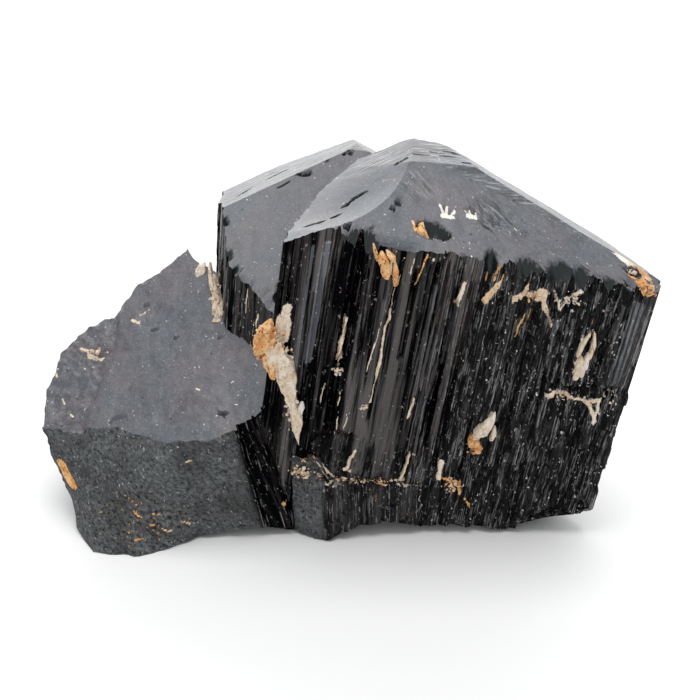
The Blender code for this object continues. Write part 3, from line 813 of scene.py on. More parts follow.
def make_main_relief(outline, turns):
    """The relief of the large prism's sides, in millimetres outwards.

    It sums ridge bands of four widths. The finest and the short, broken ones are
    weighted by place, and grooves, blocky chips and a crack are cut in.
    """
    run = outline.run(turns)

    def relief(plan, h):
        x, y = plan[..., 0], plan[..., 1]
        ridged, broken = main_zone(x, y, h)
        points = np.stack([x, y, h * 0.3], axis=-1)
        straight = run + np.zeros(h.shape)
        wander = straight + 0.25 * soft_noise(np.stack([x * 0.6, y * 0.6, h * 0.12], axis=-1), 1.0, 5)
        total = add_bands(0.0, straight, h, MAIN_RIDGE_TOP, (
            (0.22, 3.2, 11, 1), (0.10 + 0.14 * ridged, 1.2, 12, 2),
            (0.02 + 0.18 * ridged, 0.5, 13, 2), (0.10 * ridged, 0.22, 14, 3)))
        total = add_bands(total, wander, h, MAIN_RIDGE_TOP, (
            (0.40 * broken, 0.8, 15, 7), (0.22 * broken, 0.36, 16, 12)))
        number = grain_number(points, 1.3, 17)
        total = total - 1.1 * broken * np.clip(number - 0.5, 0.0, 1.0)
        total = total + 0.10 * broken * rough_noise(points, 0.8, 18, 3)
        crack = 24.2 + (x - 3.4) * 0.15 + 0.5 * soft_noise(points, 1.5, 19)
        crack = patch(x, h, (8.4, 24.9), (6.4, 9.0)) * np.clip(1.0 - np.abs(h - crack) / 0.7, 0.0, 1.0)
        uneven = 0.5 + 0.5 * rough_noise(points, 2.2, 21, 3)
        low = 1.3 * patch(x, h, (-21.0, 10.4), (6.0, 4.2)) + patch(x, h, (-3.0, 9.0), (3.8, 3.4))
        cuts = groove_depth(x, h, MAIN_GROOVES) + 0.9 * crack + uneven * low
        total = np.clip(total - front_share(y) * cuts - 0.35, -2.2, 0.1)
        field, _ = line_field(x, h, MAIN_LINES)
        filled = smooth_step(0.3, 0.7, field) * (y < 1.0)
        return total * (1.0 - filled) + filled * (-0.3 + 0.2 * rough_noise(points, 0.7, 20, 3))

    return relief


def main_spacing(x, y):
    """Distance between columns: fine on the front, coarse behind."""
    if y < 1.0:
        return 0.09
    return 0.18 if x < -24.0 or (x > 10.0 and y < 5.0) else 0.7


def make_main_base(axes):
    """Underside of the large prism: the ground, the break on the right and chips."""
    def base(x, y):
        points = flat_points(x, y)
        ground = axes.ground_height(x, y)
        facing = np.array(BREAK_FACING)
        above = (axes.drawing(x, y, np.zeros(x.shape)) - np.array(BREAK_POINT)) @ facing
        broken = 0.6 * rough_noise(points, 2.0, 41, 3) - above / (axes.up @ facing)
        front = 1.0 - smooth_step(0.0, 1.0, (y + 1.0) / (3.5 + 6.0 * smooth_step(3.5, 5.5, x)))
        lift = np.interp(x, FOOT_PLACES, FOOT_LIFTS) + 0.25 * np.abs(rough_noise(points, 1.5, 42, 2))
        chipped = front * lift
        return np.maximum(ground + chipped, broken)

    return base


def main_faces():
    """The large prism's upper faces and where two pairs of them meet the flat summit."""
    front, left, right = (Slope(*face) for face in (FRONT_FACE, LEFT_FACE, RIGHT_FACE))
    summit = Slope(0.0, 0.0, (0.0, 0.0, MAIN_SUMMIT))
    return front, left, right, summit, meeting_point(front, left, summit), meeting_point(front, right, summit)


def main_columns(outline):
    """The large prism's columns, the summit points they run to, and its left edge."""
    front, left, right, summit, first, second = main_faces()
    left_edge = ridge_direction(left, front, summit, first)
    keys = [
        outline.crossing(first, left_edge),
        outline.crossing(second, ridge_direction(front, right, summit, second)),
        outline.crossing(second, ridge_direction(right, summit, front, second)),
        outline.crossing(first, ridge_direction(summit, left, front, first)),
    ]
    slit = np.array([0.0, 0.12])
    summits = [
        (first - slit, second - slit), (second - slit, second + slit),
        (second + slit, first + slit), (first + slit, first - slit),
    ]
    turns, target = crown_columns(outline, keys, summits, main_spacing)
    return turns, target, left_edge, keys[0]


def main_cap(outline, left_edge, edge_turn):
    """Height of the large prism's top at plan points: the lowest of its faces.

    The left face sinks along its edge with the front face by a sine, so that this
    edge bows to the right.
    """
    front, left, right, summit, first, _ = main_faces()
    edge_length = np.linalg.norm(outline.at(np.array(edge_turn)) - first)
    across_edge = np.array([-left_edge[1], left_edge[0]])
    steepness = np.linalg.norm(np.subtract(left.rise, front.rise))

    def plain(x, y):
        points = flat_points(x, y)
        lift = flat_lift(x, y, MAIN_SPOTS)
        down_x, down_y = x - first[0], y - first[1]
        share = np.clip((down_x * left_edge[0] + down_y * left_edge[1]) / edge_length, 0.0, 1.0)
        aside = down_x * across_edge[0] + down_y * across_edge[1]
        bulge = steepness * EDGE_BULGE * np.sin(math.pi * share) * np.exp(-(aside / 7.0) ** 2)
        streaks = rough_noise(points * np.array([2.2, 0.7, 1.0]), 1.0, 35, 3)
        lift_front = lift + 0.22 * streaks * patch(x, y, (-7.2, 5.6), (3.4, 2.6))
        near_rim = (1.0 - smooth_step(-1.2, 1.4, y)) * smooth_step(-9.0, -5.0, x)
        lift_front = lift_front - 0.6 * near_rim * np.clip(rough_noise(points, 2.4, 33, 4), 0.0, 1.0)
        rounding = 0.9 * (1.0 - smooth_step(-1.2, 0.9, y)) ** 2 * smooth_step(-13.0, -18.0, x)
        height = front.height(x, y) + lift_front - rounding
        height = np.minimum(height, left.height(x, y) + bulge + 0.3 * lift)
        height = np.minimum(height, right.height(x, y) + 0.5 * lift)
        return np.minimum(height, summit.height(x, y) + 0.4 * lift)

    return plain


def make_main_crystal(materials):
    """Surface of the large prism with its four upper faces."""
    axes = CrystalFrame(MAIN_FOOT, MAIN_LEAN)
    outline = Outline(MAIN_PLAN)
    turns, target, left_edge, edge_turn = main_columns(outline)
    rim = outline.at(turns)
    across_edge = np.array([-left_edge[1], left_edge[0]])
    near = np.abs(outline.run(turns) - outline.run(np.array(edge_turn)))
    weight = np.exp(-(np.minimum(near, outline.length - near) / 5.0) ** 2)[None, :]

    def bend(share):
        return (EDGE_BULGE * np.sin(math.pi * share) * weight)[..., None] * across_edge

    plain = main_cap(outline, left_edge, edge_turn)
    shapes = {
        "base": make_main_base(axes), "cap": chipped_cap(plain, MAIN_CHIPS, MAIN_SLOTS, 34),
        "relief": make_main_relief(outline, turns), "bend": bend,
    }
    outward = outline.outward(turns, 0.35)
    grid, x, y, h = crystal_grid(axes, rim, rim, outward, target, MAIN_ROWS, shapes)
    field, rust = line_field(x, h, MAIN_LINES)
    top_field, top_rust = line_field(x, y, MAIN_TOP_LINES, TOP_WANDER)
    top_part = np.arange(len(h))[:, None] >= MAIN_ROWS[0] + MAIN_ROWS[1]
    field = np.where(top_part, top_field, field * (y < 3.0))
    rust = np.where(top_part, top_rust, rust)
    _, broken = main_zone(x, y, h)
    # How much each zone shines: it sets the coat weight and the pale shine painted into the base colour. It
    # is less towards the bottom on the right, and along the sheen lines it is raised so that an even sheen is
    # painted.
    tone_and_shine = np.interp(x, SHINE_PLACES, SHINE_LEVELS) * (y < 1.5) + 0.5 * (y >= 1.5)
    tone_and_shine = tone_and_shine * (1.0 - 0.6 * smooth_step(18.0, 10.0, h) * smooth_step(-14.0, -8.0, x))
    sheen = line_depth(x, h, SHEEN_LINES, SHEEN_WANDER)
    tone_and_shine = np.maximum(tone_and_shine, 1.6 * smooth_step(0.44, 0.50, sheen) * (y < 1.5))
    strip = smooth_step(9.6, 11.4, y + 0.35 * (x + 12.0))
    slanting = 0.7 * patch(x, y, (-16.4, 7.6), (2.8, 2.4))
    slanting = np.maximum(slanting, patch(x, y, (-6.4, 5.6), (3.0, 2.4)))
    traits = {
        "lay": streak_lay(x, y, np.where(strip > 0.5, 0.12, -0.72)),
        "streaky": np.maximum(strip, slanting),
        "axes": (x, y, h), "gloss": 1.0 - 0.15 * broken, "broken": broken, "tone_and_shine": tone_and_shine,
        "chip": smooth_step(0.02, 0.2, plain(x, y) - h),
        "gleam": edge_gleam(x, y, outward) * (0.25 + 0.75 * smooth_step(-14.0, -11.0, x)),
        "fill": field, "rust": rust,
    }
    return crystal_piece("main_prism_surface", grid, traits, MAIN_ROWS, materials)


# The crystal behind, with the same kinds of values

REAR_ROWS = (3, 70, 46)
REAR_RIDGE_TOP = 42.0
REAR_SPOTS = [((-10.4, 17.4), (1.2, 0.8), -0.3), ((-16.4, -1.3), (0.4, 2.0), 0.2)]
REAR_CHIPS = [
    (-10.4, 17.2, 39.9, 0.9, 0.35, 0.6), (-19.8, 3.0, 32.6, 1.2, 1.4, 1.4),
    (-4.3, 21.9, 41.9, 0.5, 0.4, 0.6), (-20.6, 8.0, 35.0, 0.6, 1.0, 1.2),
    (-7.5, 19.6, 41.2, 0.4, 0.3, 0.6), (-12.8, -2.4, 29.6, 1.0, 1.4, 1.4),
    (-18.2, 1.2, 31.6, 0.9, 0.9, 1.4),
]
REAR_SLOTS = [
    ([(-11.2, 17.0), (-9.8, 17.5)], 0.6), ([(-13.8, 14.6), (-12.6, 15.6)], 0.2),
    ([(-5.0, 21.4), (-3.6, 21.8)], 0.3), ([(-19.4, 15.0), (-18.0, 17.0)], 0.2),
    ([(-15.4, 20.4), (-13.2, 22.4)], 0.2),
]
REAR_LINES = [([(-16.6, 27.0), (-16.5, 30.6)], 0.14, 0.0), ([(-15.2, 25.5), (-15.0, 28.0)], 0.16, 0.0)]


def rear_spacing(x, y):
    """Distance between columns: fine where the left edge shows beside the large prism."""
    return 0.12 if x < -8.0 and y < 26.0 else 0.4


def make_rear_crystal(materials):
    """Surface of the crystal that has grown on in parallel behind."""
    axes = CrystalFrame(REAR_FOOT, REAR_LEAN)
    outline = Outline(REAR_PLAN)
    front, left, right = (Slope(*face) for face in (REAR_FRONT_FACE, REAR_BACK_FACE, REAR_RIGHT_FACE))
    summit = Slope(0.0, 0.0, (0.0, 0.0, REAR_SUMMIT))
    pairs = ((left, front), (front, right), (right, left))
    corners = [meeting_point(*faces, summit) for faces in pairs]
    ridges = [ridge_direction(*faces, summit, corner) for faces, corner in zip(pairs, corners)]
    keys = [outline.crossing(corner, ridge) for corner, ridge in zip(corners, ridges)]
    summits = [(corners[0], corners[1]), (corners[1], corners[2]), (corners[2], corners[0])]
    turns, target = crown_columns(outline, keys, summits, rear_spacing)
    rim = outline.at(turns)
    run = outline.run(turns)

    def plain(x, y):
        points = flat_points(x, y)
        lift = flat_lift(x, y, REAR_SPOTS)
        near_rim = (1.0 - smooth_step(0.0, 3.0, y)) * np.clip(rough_noise(points, 2.0, 57, 3), 0.0, 1.0)
        height = np.minimum(front.height(x, y) + lift - 0.5 * near_rim, left.height(x, y) + 0.4 * lift)
        height = np.minimum(height, right.height(x, y) + lift)
        return np.minimum(height, summit.height(x, y) + 0.3 * lift)

    def relief(plan, h):
        points = np.stack([plan[..., 0], plan[..., 1], h * 0.3], axis=-1)
        straight = run + np.zeros(h.shape)
        total = add_bands(0.0, straight, h, REAR_RIDGE_TOP, (
            (0.25, 3.0, 51, 1), (0.18, 1.0, 52, 2), (0.10, 0.45, 53, 3)))
        return np.clip(total - 0.3 + 0.05 * rough_noise(points, 1.0, 55, 3), -1.2, 0.1)

    def base(x, y):
        points = flat_points(x, y)
        return axes.ground_height(x, y) + 0.2 * np.abs(rough_noise(points, 1.5, 56, 2))

    cap = chipped_cap(plain, REAR_CHIPS, REAR_SLOTS, 54)
    shapes = {"base": base, "cap": cap, "relief": relief, "bend": lambda share: 0.0}
    outward = outline.outward(turns, 0.3)
    grid, x, y, h = crystal_grid(axes, rim, rim, outward, target, REAR_ROWS, shapes)
    field, rust = line_field(x, h, REAR_LINES)
    broken = 0.9 * (1.0 - smooth_step(27.0, 31.0, h)) * smooth_step(-18.5, -16.0, x) * (y < 6.0)
    traits = {
        "lay": streak_lay(x, y, math.atan2(ridges[0][1], ridges[0][0])),
        "streaky": smooth_step(0.0, 0.5, front.height(x, y) - left.height(x, y)),
        "axes": (x, y, h), "gloss": 1.0, "broken": 0.1 + broken, "gleam": edge_gleam(x, y, outward),
        "fill": field * (y < 3.0), "rust": rust, "tone_and_shine": 0.4,
        "chip": smooth_step(0.02, 0.2, plain(x, y) - h),
    }
    return crystal_piece("rear_prism_surface", grid, traits, REAR_ROWS, materials)


# The broad crystal on the left, in the drawing frame

# Ledge across its top, and spots that rise or sink there.
LEFT_LEDGE = ((-32.2, 6.3), (-32.9, 0.7), (-34.9, -6.7), (-35.5, -9.0))
LEFT_SPOTS = [
    ((-35.5, 2.1), (2.6, 1.6), -0.4), ((-16.6, -10.4), (0.8, 0.3), -0.8),
    ((-17.7, 0.1), (0.4, 0.3), -0.4), ((-22.5, -9.0), (4.0, 2.0), -0.2),
    ((-27.5, 5.5), (3.0, 2.0), -0.2), ((-28.8, 7.4), (0.6, 0.3), -0.4),
    ((-31.0, -8.0), (1.4, 0.8), -0.5), ((-24.0, 1.6), (0.5, 0.2), -0.35),
    ((-27.2, 3.4), (0.7, 0.25), -0.35),
]
# Feldspar lines on the top (x, y) and on the sides (x, height).
LEFT_LINES = [
    ([(-36.6, 2.7), (-34.4, 1.5)], 0.6, 0.0), ([(-37.9, 3.6), (-36.8, 3.0)], 0.3, 0.05),
    ([(-30.6, 5.6), (-29.6, 5.0)], 0.3, 0.1), ([(-29.6, 6.0), (-28.4, 6.8)], 0.14, 0.0),
    ([(-41.2, 1.6), (-40.9, 0.4)], 0.24, 0.1), ([(-17.8, 0.1), (-17.5, 0.0)], 0.3, 0.7),
    ([(-20.4, -6.4), (-19.9, -6.6)], 0.24, 0.0), ([(-39.4, -3.0), (-39.0, -3.6)], 0.2, 0.0),
    ([(-38.0, -5.6), (-37.6, -5.9)], 0.2, 0.0),
]
LEFT_SIDE_LINES = [
    ([(-39.4, 8.6), (-39.0, 7.4), (-38.5, 6.4)], 1.7, 0.85), ([(-38.0, 7.2), (-37.6, 6.4)], 0.9, 0.8),
    ([(-29.8, 7.4), (-28.4, 6.6)], 0.22, 0.2), ([(-28.8, 5.6), (-27.8, 5.0)], 0.3, 0.5),
    ([(-26.4, 5.6), (-25.4, 5.2)], 0.2, 0.1), ([(-25.0, 3.2), (-23.8, 3.0)], 0.3, 0.6),
    ([(-28.6, 2.2), (-27.4, 2.0)], 0.26, 0.4), ([(-22.6, 4.0), (-21.6, 3.4)], 0.24, 0.6),
    ([(-26.6, 3.9), (-26.0, 3.7)], 0.3, 0.6), ([(-21.4, 13.0), (-20.8, 13.2)], 0.3, 0.6),
    ([(-9.2, 5.4), (-8.8, 5.0)], 0.4, 0.9),
]
LEFT_ROWS = (3, 56, 76)
LEFT_CENTRE = np.array([-25.0, -2.0])
# How far the fibres lean to the left over their height.
LEFT_SLANT = 0.39
# Corner number from which the sides are striated facets.
LEFT_FACET_CORNER = 14.0
LEFT_RIDGE_TOP = 24.0
LEFT_FOOT_PLACES = (-39.0, -36.0, -30.0, -25.6, -21.0, -18.0, -15.5, -13.0, -10.0)
LEFT_FOOT_LIFTS = (1.2, 0.2, 0.0, 0.0, 0.4, 0.9, 1.4, 1.8, 1.4)


def top_height(x, y, point, facing):
    """Height of a sloping flat top at plan points."""
    return point[2] - ((x - point[0]) * facing[0] + (y - point[1]) * facing[1]) / facing[2]


def left_spacing(x, y):
    """Distance between columns: finer on the sides that face the front."""
    return 0.11 if y < -5.0 and x > -40.0 else 0.17


def left_cap(x, y):
    """Height of the left crystal's top: a slope with a lower, rougher strip outside a ledge."""
    points = flat_points(x, y)
    ledge_y, ledge_x = zip(*sorted((y, x) for x, y in LEFT_LEDGE))
    lift = flat_lift(x, y, LEFT_SPOTS) + 0.10 * rough_noise(points, 3.0, 61, 4)
    outer = smooth_step(0.3, -0.9, x - np.interp(y, ledge_y, ledge_x) + 0.4 * soft_noise(points, 1.4, 62))
    outer = outer * smooth_step(-9.5, -8.0, y)
    number = grain_number(points, 1.8, 63)
    lift = lift - outer * (0.5 + 0.25 * number + 0.3 * rough_noise(points, 1.2, 64, 3))
    return top_height(x, y, LEFT_TOP_POINT, LEFT_TOP_FACING) + lift


def make_left_crystal(materials):
    """Surface of the broad leaning crystal, whose foot and top outlines differ."""
    axes = DRAWING
    foot, top = Outline(LEFT_FOOT_PLAN), Outline(LEFT_TOP_PLAN)
    turns = top.columns(0.0, [], left_spacing)
    run = top.run(turns)
    rim = top.at(turns)
    facet_start = top.run(np.array(LEFT_FACET_CORNER))
    faceted = smooth_step(facet_start - 0.4, facet_start + 0.4, run)[None, :]

    def relief(plan, h):
        x, y = plan[..., 0], plan[..., 1]
        points = np.stack([x, y, h], axis=-1)
        straight = run + np.zeros(h.shape)
        bands = add_bands(0.0, straight, h, LEFT_RIDGE_TOP, ((0.55, 1.5, 66, 2), (0.3, 0.5, 67, 3)))
        below_rim = np.maximum(top_height(x, y, LEFT_TOP_POINT, LEFT_TOP_FACING) - h, 0.0)
        rim_round = np.exp(-(below_rim / 1.4))
        pressed = points * np.array([1.0, 1.0, 1.6])
        lumpy = 0.6 * rough_noise(points, 6.0, 68, 3) + 0.12 * rough_noise(pressed, 1.2, 69, 3)
        layered = 0.12 * rough_noise(np.stack([x * 0.5 - h * 0.3, y * 0.5, h * 1.6], axis=-1), 1.0, 72, 3)
        broken = lumpy + layered - 0.5 * rim_round
        return np.clip(faceted * (bands - 0.45) + (1.0 - faceted) * (broken + 0.15), -2.0, 0.5)

    def base(x, y):
        points = flat_points(x, y)
        rough = 0.35 * np.abs(rough_noise(points, 2.0, 71, 3)) * smooth_step(-36.0, -40.0, x - y)
        return rough + np.interp(x, LEFT_FOOT_PLACES, LEFT_FOOT_LIFTS) * smooth_step(-2.0, -7.0, y)

    shapes = {"base": base, "cap": left_cap, "relief": relief, "bend": lambda share: 0.0}
    summit = LEFT_CENTRE + 0.02 * (rim - LEFT_CENTRE)
    outward = top.outward(turns, 0.5)
    grid, x, y, h = crystal_grid(axes, foot.at(turns), rim, outward, summit, LEFT_ROWS, shapes)
    top_part = np.arange(len(h))[:, None] >= LEFT_ROWS[0] + LEFT_ROWS[1]
    top_field, top_rust = line_field(x, y, LEFT_LINES)
    side_field, side_rust = line_field(x, h, LEFT_SIDE_LINES)
    stained = patch(x, h, (-28.0, 4.5), (9.0, 5.0)) * (y < -5.0)
    side_rust = np.maximum(side_rust, 0.7 * stained)
    traits = {
        "axes": (x + LEFT_SLANT * h, y, h), "gloss": faceted,
        "broken": (0.25 + 0.75 * stained) * (1.0 - faceted),
        "gleam": edge_gleam(x, y, outward) * faceted, "tone_and_shine": 0.12, "chip": 0.0,
        "fill": np.where(top_part, top_field, side_field * (y < -5.0)),
        "rust": np.where(top_part, top_rust, side_rust),
    }
    return crystal_piece("left_crystal_surface", grid, traits, LEFT_ROWS, materials)


# The short crystal, in the drawing frame

SHORT_ROWS = (2, 60, 14)
SHORT_RIDGE_TOP = 12.0
SHORT_FOOT_PLACES = (-8.0, -6.5, -5.0, -3.5, -2.0, 0.0, 2.0, 6.0, 9.5)
SHORT_FOOT_LIFTS = (0.6, 0.3, 0.1, 0.0, 0.6, 1.6, 2.2, 2.4, 1.6)


def make_short_crystal(materials):
    """Surface of the short crystal at the large one's foot, with its crusted top."""
    axes = DRAWING
    outline = Outline(SHORT_PLAN)
    turns = outline.columns(0.0, [], lambda x, y: 0.08 if y < -11.0 else 0.5)
    rim = outline.at(turns)
    run = outline.run(turns)

    def cap(x, y):
        points = flat_points(x, y)
        number = grain_number(points, 0.8, 81)
        crust = 0.9 * (number - 0.6) + 0.3 * rough_noise(points, 1.0, 82, 3)
        heap = 1.9 * patch(x, y, (-6.4, -11.8), (3.6, 1.8))
        return top_height(x, y, SHORT_TOP_POINT, SHORT_TOP_FACING) + crust + heap

    def relief(plan, h):
        x = plan[..., 0]
        points = np.stack([x, plan[..., 1], h * 0.4], axis=-1)
        straight = run + np.zeros(h.shape)
        ridged = smooth_step(-4.0, -3.2, x)
        total = add_bands(0.0, straight, h, SHORT_RIDGE_TOP, (
            (0.1 + 0.3 * ridged, 0.9, 83, 3), (0.2 * ridged, 0.4, 84, 4)))
        return np.clip(total - 0.25 + 0.12 * rough_noise(points, 0.9, 85, 3), -0.8, 0.1)

    def base(x, y):
        points = flat_points(x, y)
        lift = np.interp(x, SHORT_FOOT_PLACES, SHORT_FOOT_LIFTS) * smooth_step(-10.0, -11.5, y)
        return lift + 0.15 * np.abs(rough_noise(points, 0.8, 86, 2))

    shapes = {"base": base, "cap": cap, "relief": relief, "bend": lambda share: 0.0}
    middle = rim.mean(axis=0)
    summit = middle + 0.04 * (rim - middle)
    outward = outline.outward(turns, 0.2)
    grid, x, y, h = crystal_grid(axes, rim, rim, outward, summit, SHORT_ROWS, shapes)
    top_part = np.arange(len(h))[:, None] >= SHORT_ROWS[0] + SHORT_ROWS[1] - 1
    number = grain_number(np.stack([x, y, h], axis=-1), 0.55, 87)
    second = grain_number(np.stack([x, y, h], axis=-1), 2.2, 88)
    traits = {
        "axes": (x, y, h), "gloss": 0.1 + 0.75 * smooth_step(-4.0, -3.2, x),
        "broken": 0.35 + 0.5 * smooth_step(6.0, 9.0, h),
        "gleam": edge_gleam(x, y, outward), "tone_and_shine": 0.4, "chip": 0.0,
        "fill": np.where(top_part, smooth_step(0.55, 0.9, number), 0.0),
        "rust": np.where(second > 0.62, 0.6, 0.1),
    }
    return crystal_piece("short_crystal_surface", grid, traits, SHORT_ROWS, materials)


# Feldspar

BLADE_ROWS, BLADE_COLUMNS = 72, 56
BLADE_ROUGHNESS = 0.22
# How box-like a blade's section is.
BLADE_POWER = 6.0


def blade(stations, seed):
    """A closed lump of mineral: uneven ovals stacked along a line of stations.

    A station is (x, y, z, half width, half depth). Round each oval the reach is
    (|cos a| to the power p + |sin a| to the power p) to the power -1/p, which is
    nearly a box, and cell steps and noise move the surface in and out.
    """
    stops = np.linspace(0.0, 1.0, len(stations))
    share = np.linspace(0.0, 1.0, BLADE_ROWS)
    x, y, z, wide, deep = (np.interp(share, stops, column)[:, None] for column in zip(*stations))
    angle = np.arange(BLADE_COLUMNS) / BLADE_COLUMNS * 2.0 * math.pi + 0.4
    power, rough = BLADE_POWER, BLADE_ROUGHNESS
    reach = (np.abs(np.cos(angle)) ** power + np.abs(np.sin(angle)) ** power) ** (-1.0 / power)
    ends = np.clip(np.minimum(share, 1.0 - share) * 9.0, 0.0, 1.0)[:, None] ** 0.5

    def surface(spread):
        places = [x + wide * spread * np.cos(angle), y + deep * spread * np.sin(angle), z + 0.0 * spread]
        return np.stack(np.broadcast_arrays(*places), axis=-1)

    along = surface(reach) * np.array([1.0, 1.0, 0.4]) + seed * 3.7
    large = grain_number(along, 0.9, seed)
    small = grain_number(along, 0.4, seed + 3)
    uneven = 1.0 + 1.6 * rough * (large - 0.5) + rough * (small - 0.5)
    uneven = uneven + rough * rough_noise(along, 1.3, seed + 5, 4)
    return surface(reach * uneven * (0.15 + 0.85 * ends))


def blade_piece(name, lumps, axes, seed, material):
    """One mesh out of several blades: each is its stations and its rust."""
    groups = []
    for number, (stations, _) in enumerate(lumps):
        body = blade(stations, seed + number * 11)
        groups.append(closed_rings(axes.place(body[..., 0], body[..., 1], body[..., 2]), {}))
    return joined_mesh(name, groups, [rust for _, rust in lumps], material)


def joined_mesh(name, groups, rust, material):
    """One object out of several closed surfaces with like grids."""
    size = len(groups[0][0])
    vertices = np.concatenate([group[0] for group in groups])
    quads = np.concatenate([group[1][0] + number * size for number, group in enumerate(groups)])
    ends = np.concatenate([group[1][1] + number * size for number, group in enumerate(groups)])
    return mesh_object(name, vertices, [quads, ends], {"rust": np.repeat(rust, size)}, material)


# Blades of the two seams, and of the grains in the large prism's pits, with rust.
FRONT_SEAM = [
    ([(-6.7, -13.0, 15.2, 0.12, 0.4), (-6.9, -13.0, 18.2, 0.55, 0.8), (-6.9, -12.9, 19.8, 0.75, 0.8),
      (-7.3, -12.9, 21.0, 0.42, 0.8), (-7.6, -12.8, 22.2, 0.62, 1.0), (-8.2, -12.6, 24.6, 1.1, 1.0),
      (-8.9, -12.4, 27.4, 1.35, 0.9), (-9.5, -12.2, 29.4, 1.1, 0.7),
      (-9.9, -12.1, 30.6, 0.6, 0.5)], 0.1),
    ([(-7.4, -12.7, 23.6, 0.3, 0.6), (-7.7, -12.6, 25.6, 0.5, 0.7),
      (-7.8, -12.5, 27.6, 0.35, 0.5)], -0.3),
    ([(-9.6, -12.6, 25.0, 0.3, 0.8), (-10.1, -12.4, 27.0, 0.6, 0.9),
      (-10.4, -12.2, 28.8, 0.5, 0.8)], 0.75),
    ([(-11.3, -12.3, 28.4, 0.4, 0.8), (-10.9, -12.2, 29.8, 1.0, 1.0), (-10.4, -12.0, 31.6, 1.0, 1.0),
      (-9.8, -11.8, 33.2, 0.35, 0.6)], 1.0),
    ([(-10.0, -12.3, 29.4, 0.4, 0.6), (-9.8, -12.2, 30.8, 0.6, 0.7),
      (-9.4, -12.0, 32.2, 0.3, 0.5)], 0.8),
    ([(-6.5, -12.9, 19.8, 0.2, 0.4), (-6.3, -12.9, 20.8, 0.4, 0.4),
      (-6.1, -12.8, 21.8, 0.15, 0.3)], -1.0),
]
BACK_SEAM = [
    ([(-17.9, 3.6, 24.6, 0.9, 1.2), (-18.1, 4.6, 26.2, 0.85, 1.4), (-18.6, 6.6, 27.6, 0.42, 1.4),
      (-19.2, 8.6, 29.0, 0.2, 1.0)], 0.1),
    ([(-18.9, 6.4, 26.6, 0.2, 0.9), (-19.4, 8.4, 28.6, 0.3, 1.2), (-19.9, 10.6, 30.2, 0.15, 0.9)], 0.0),
    ([(-21.4, 10.4, 27.8, 0.4, 0.7), (-21.2, 10.8, 28.9, 0.7, 0.8),
      (-20.9, 11.2, 29.8, 0.4, 0.6)], -0.3),
]
SOCKET_GRAINS = {
    "feldspar_rim_block": [
        ([(-17.8, -0.8, 36.4, 0.12, 0.4), (-17.9, -0.9, 37.4, 0.38, 0.7), (-18.1, -0.9, 38.8, 0.38, 0.7),
          (-18.4, -0.6, 40.0, 0.15, 0.4)], 0.9),
        ([(-18.9, -0.8, 37.2, 0.15, 0.5), (-19.3, -0.9, 38.5, 0.48, 0.8), (-19.8, -0.8, 40.0, 0.5, 0.8),
          (-20.2, -0.4, 41.0, 0.18, 0.4)], 0.95),
        ([(-18.4, -0.7, 39.7, 0.15, 0.5), (-18.9, -0.7, 40.4, 0.42, 0.6),
          (-19.6, -0.4, 41.2, 0.2, 0.4)], 0.8),
        ([(-20.4, -0.6, 39.4, 0.12, 0.4), (-20.8, -0.4, 40.6, 0.28, 0.6),
          (-21.2, 0.0, 41.6, 0.12, 0.4)], 0.7),
        ([(-18.6, -1.0, 38.0, 0.12, 0.3), (-18.8, -1.0, 39.2, 0.22, 0.4),
          (-18.8, -0.9, 40.0, 0.12, 0.3)], 0.2),
    ],
    "feldspar_pit_grain": [
        ([(-16.3, 1.5, 41.5, 0.3, 0.6), (-15.9, 1.8, 42.1, 0.75, 0.7), (-15.7, 2.1, 42.8, 0.55, 0.6),
          (-15.5, 2.6, 43.7, 0.12, 0.3)], 0.9),
        ([(-15.2, 1.5, 41.3, 0.35, 0.6), (-15.0, 1.8, 42.1, 0.45, 0.6),
          (-15.2, 2.3, 43.0, 0.12, 0.3)], 1.2),
        ([(-16.6, 1.7, 41.9, 0.15, 0.4), (-16.5, 1.9, 42.5, 0.3, 0.4),
          (-16.2, 2.2, 43.1, 0.1, 0.3)], 1.3),
    ],
    "feldspar_right_grain": [
        ([(6.7, -0.7, 26.3, 0.35, 0.5), (6.9, -0.8, 28.4, 0.6, 0.6), (6.7, -0.8, 30.0, 0.3, 0.5)], 0.0),
        ([(7.4, -0.7, 26.8, 0.2, 0.4), (7.4, -0.8, 28.6, 0.35, 0.5),
          (7.5, -0.8, 30.6, 0.2, 0.4)], -0.4),
        ([(6.3, -0.7, 29.6, 0.2, 0.4), (6.4, -0.8, 31.6, 0.28, 0.5),
          (7.0, -0.7, 33.6, 0.15, 0.4)], 0.2),
        ([(7.8, -0.7, 29.4, 0.2, 0.4), (7.9, -0.8, 31.8, 0.25, 0.5),
          (7.5, -0.7, 33.6, 0.15, 0.4)], 0.3),
    ],
    "feldspar_low_grain": [
        ([(-3.9, -0.8, 15.4, 0.4, 0.5), (-3.6, -1.0, 16.8, 0.6, 0.8), (-3.1, -1.0, 18.0, 0.5, 0.7),
          (-2.7, -0.8, 19.4, 0.2, 0.4)], 0.0),
        ([(-3.2, -0.8, 16.0, 0.4, 0.5), (-2.8, -1.0, 17.6, 0.5, 0.7), (-2.4, -0.9, 19.0, 0.35, 0.6),
          (-2.2, -0.8, 20.2, 0.15, 0.4)], -0.5),
        ([(-3.2, -0.8, 13.4, 0.3, 0.5), (-3.4, -0.9, 14.6, 0.6, 0.7),
          (-3.9, -0.8, 15.7, 0.4, 0.5)], 1.0),
        ([(-4.2, -0.8, 14.2, 0.25, 0.4), (-4.3, -0.9, 15.2, 0.4, 0.5),
          (-4.4, -0.8, 16.0, 0.2, 0.4)], 0.9),
        ([(-1.9, -0.8, 15.6, 0.2, 0.4), (-1.7, -0.9, 16.8, 0.3, 0.5),
          (-1.8, -0.8, 18.0, 0.15, 0.4)], 0.3),
    ],
}


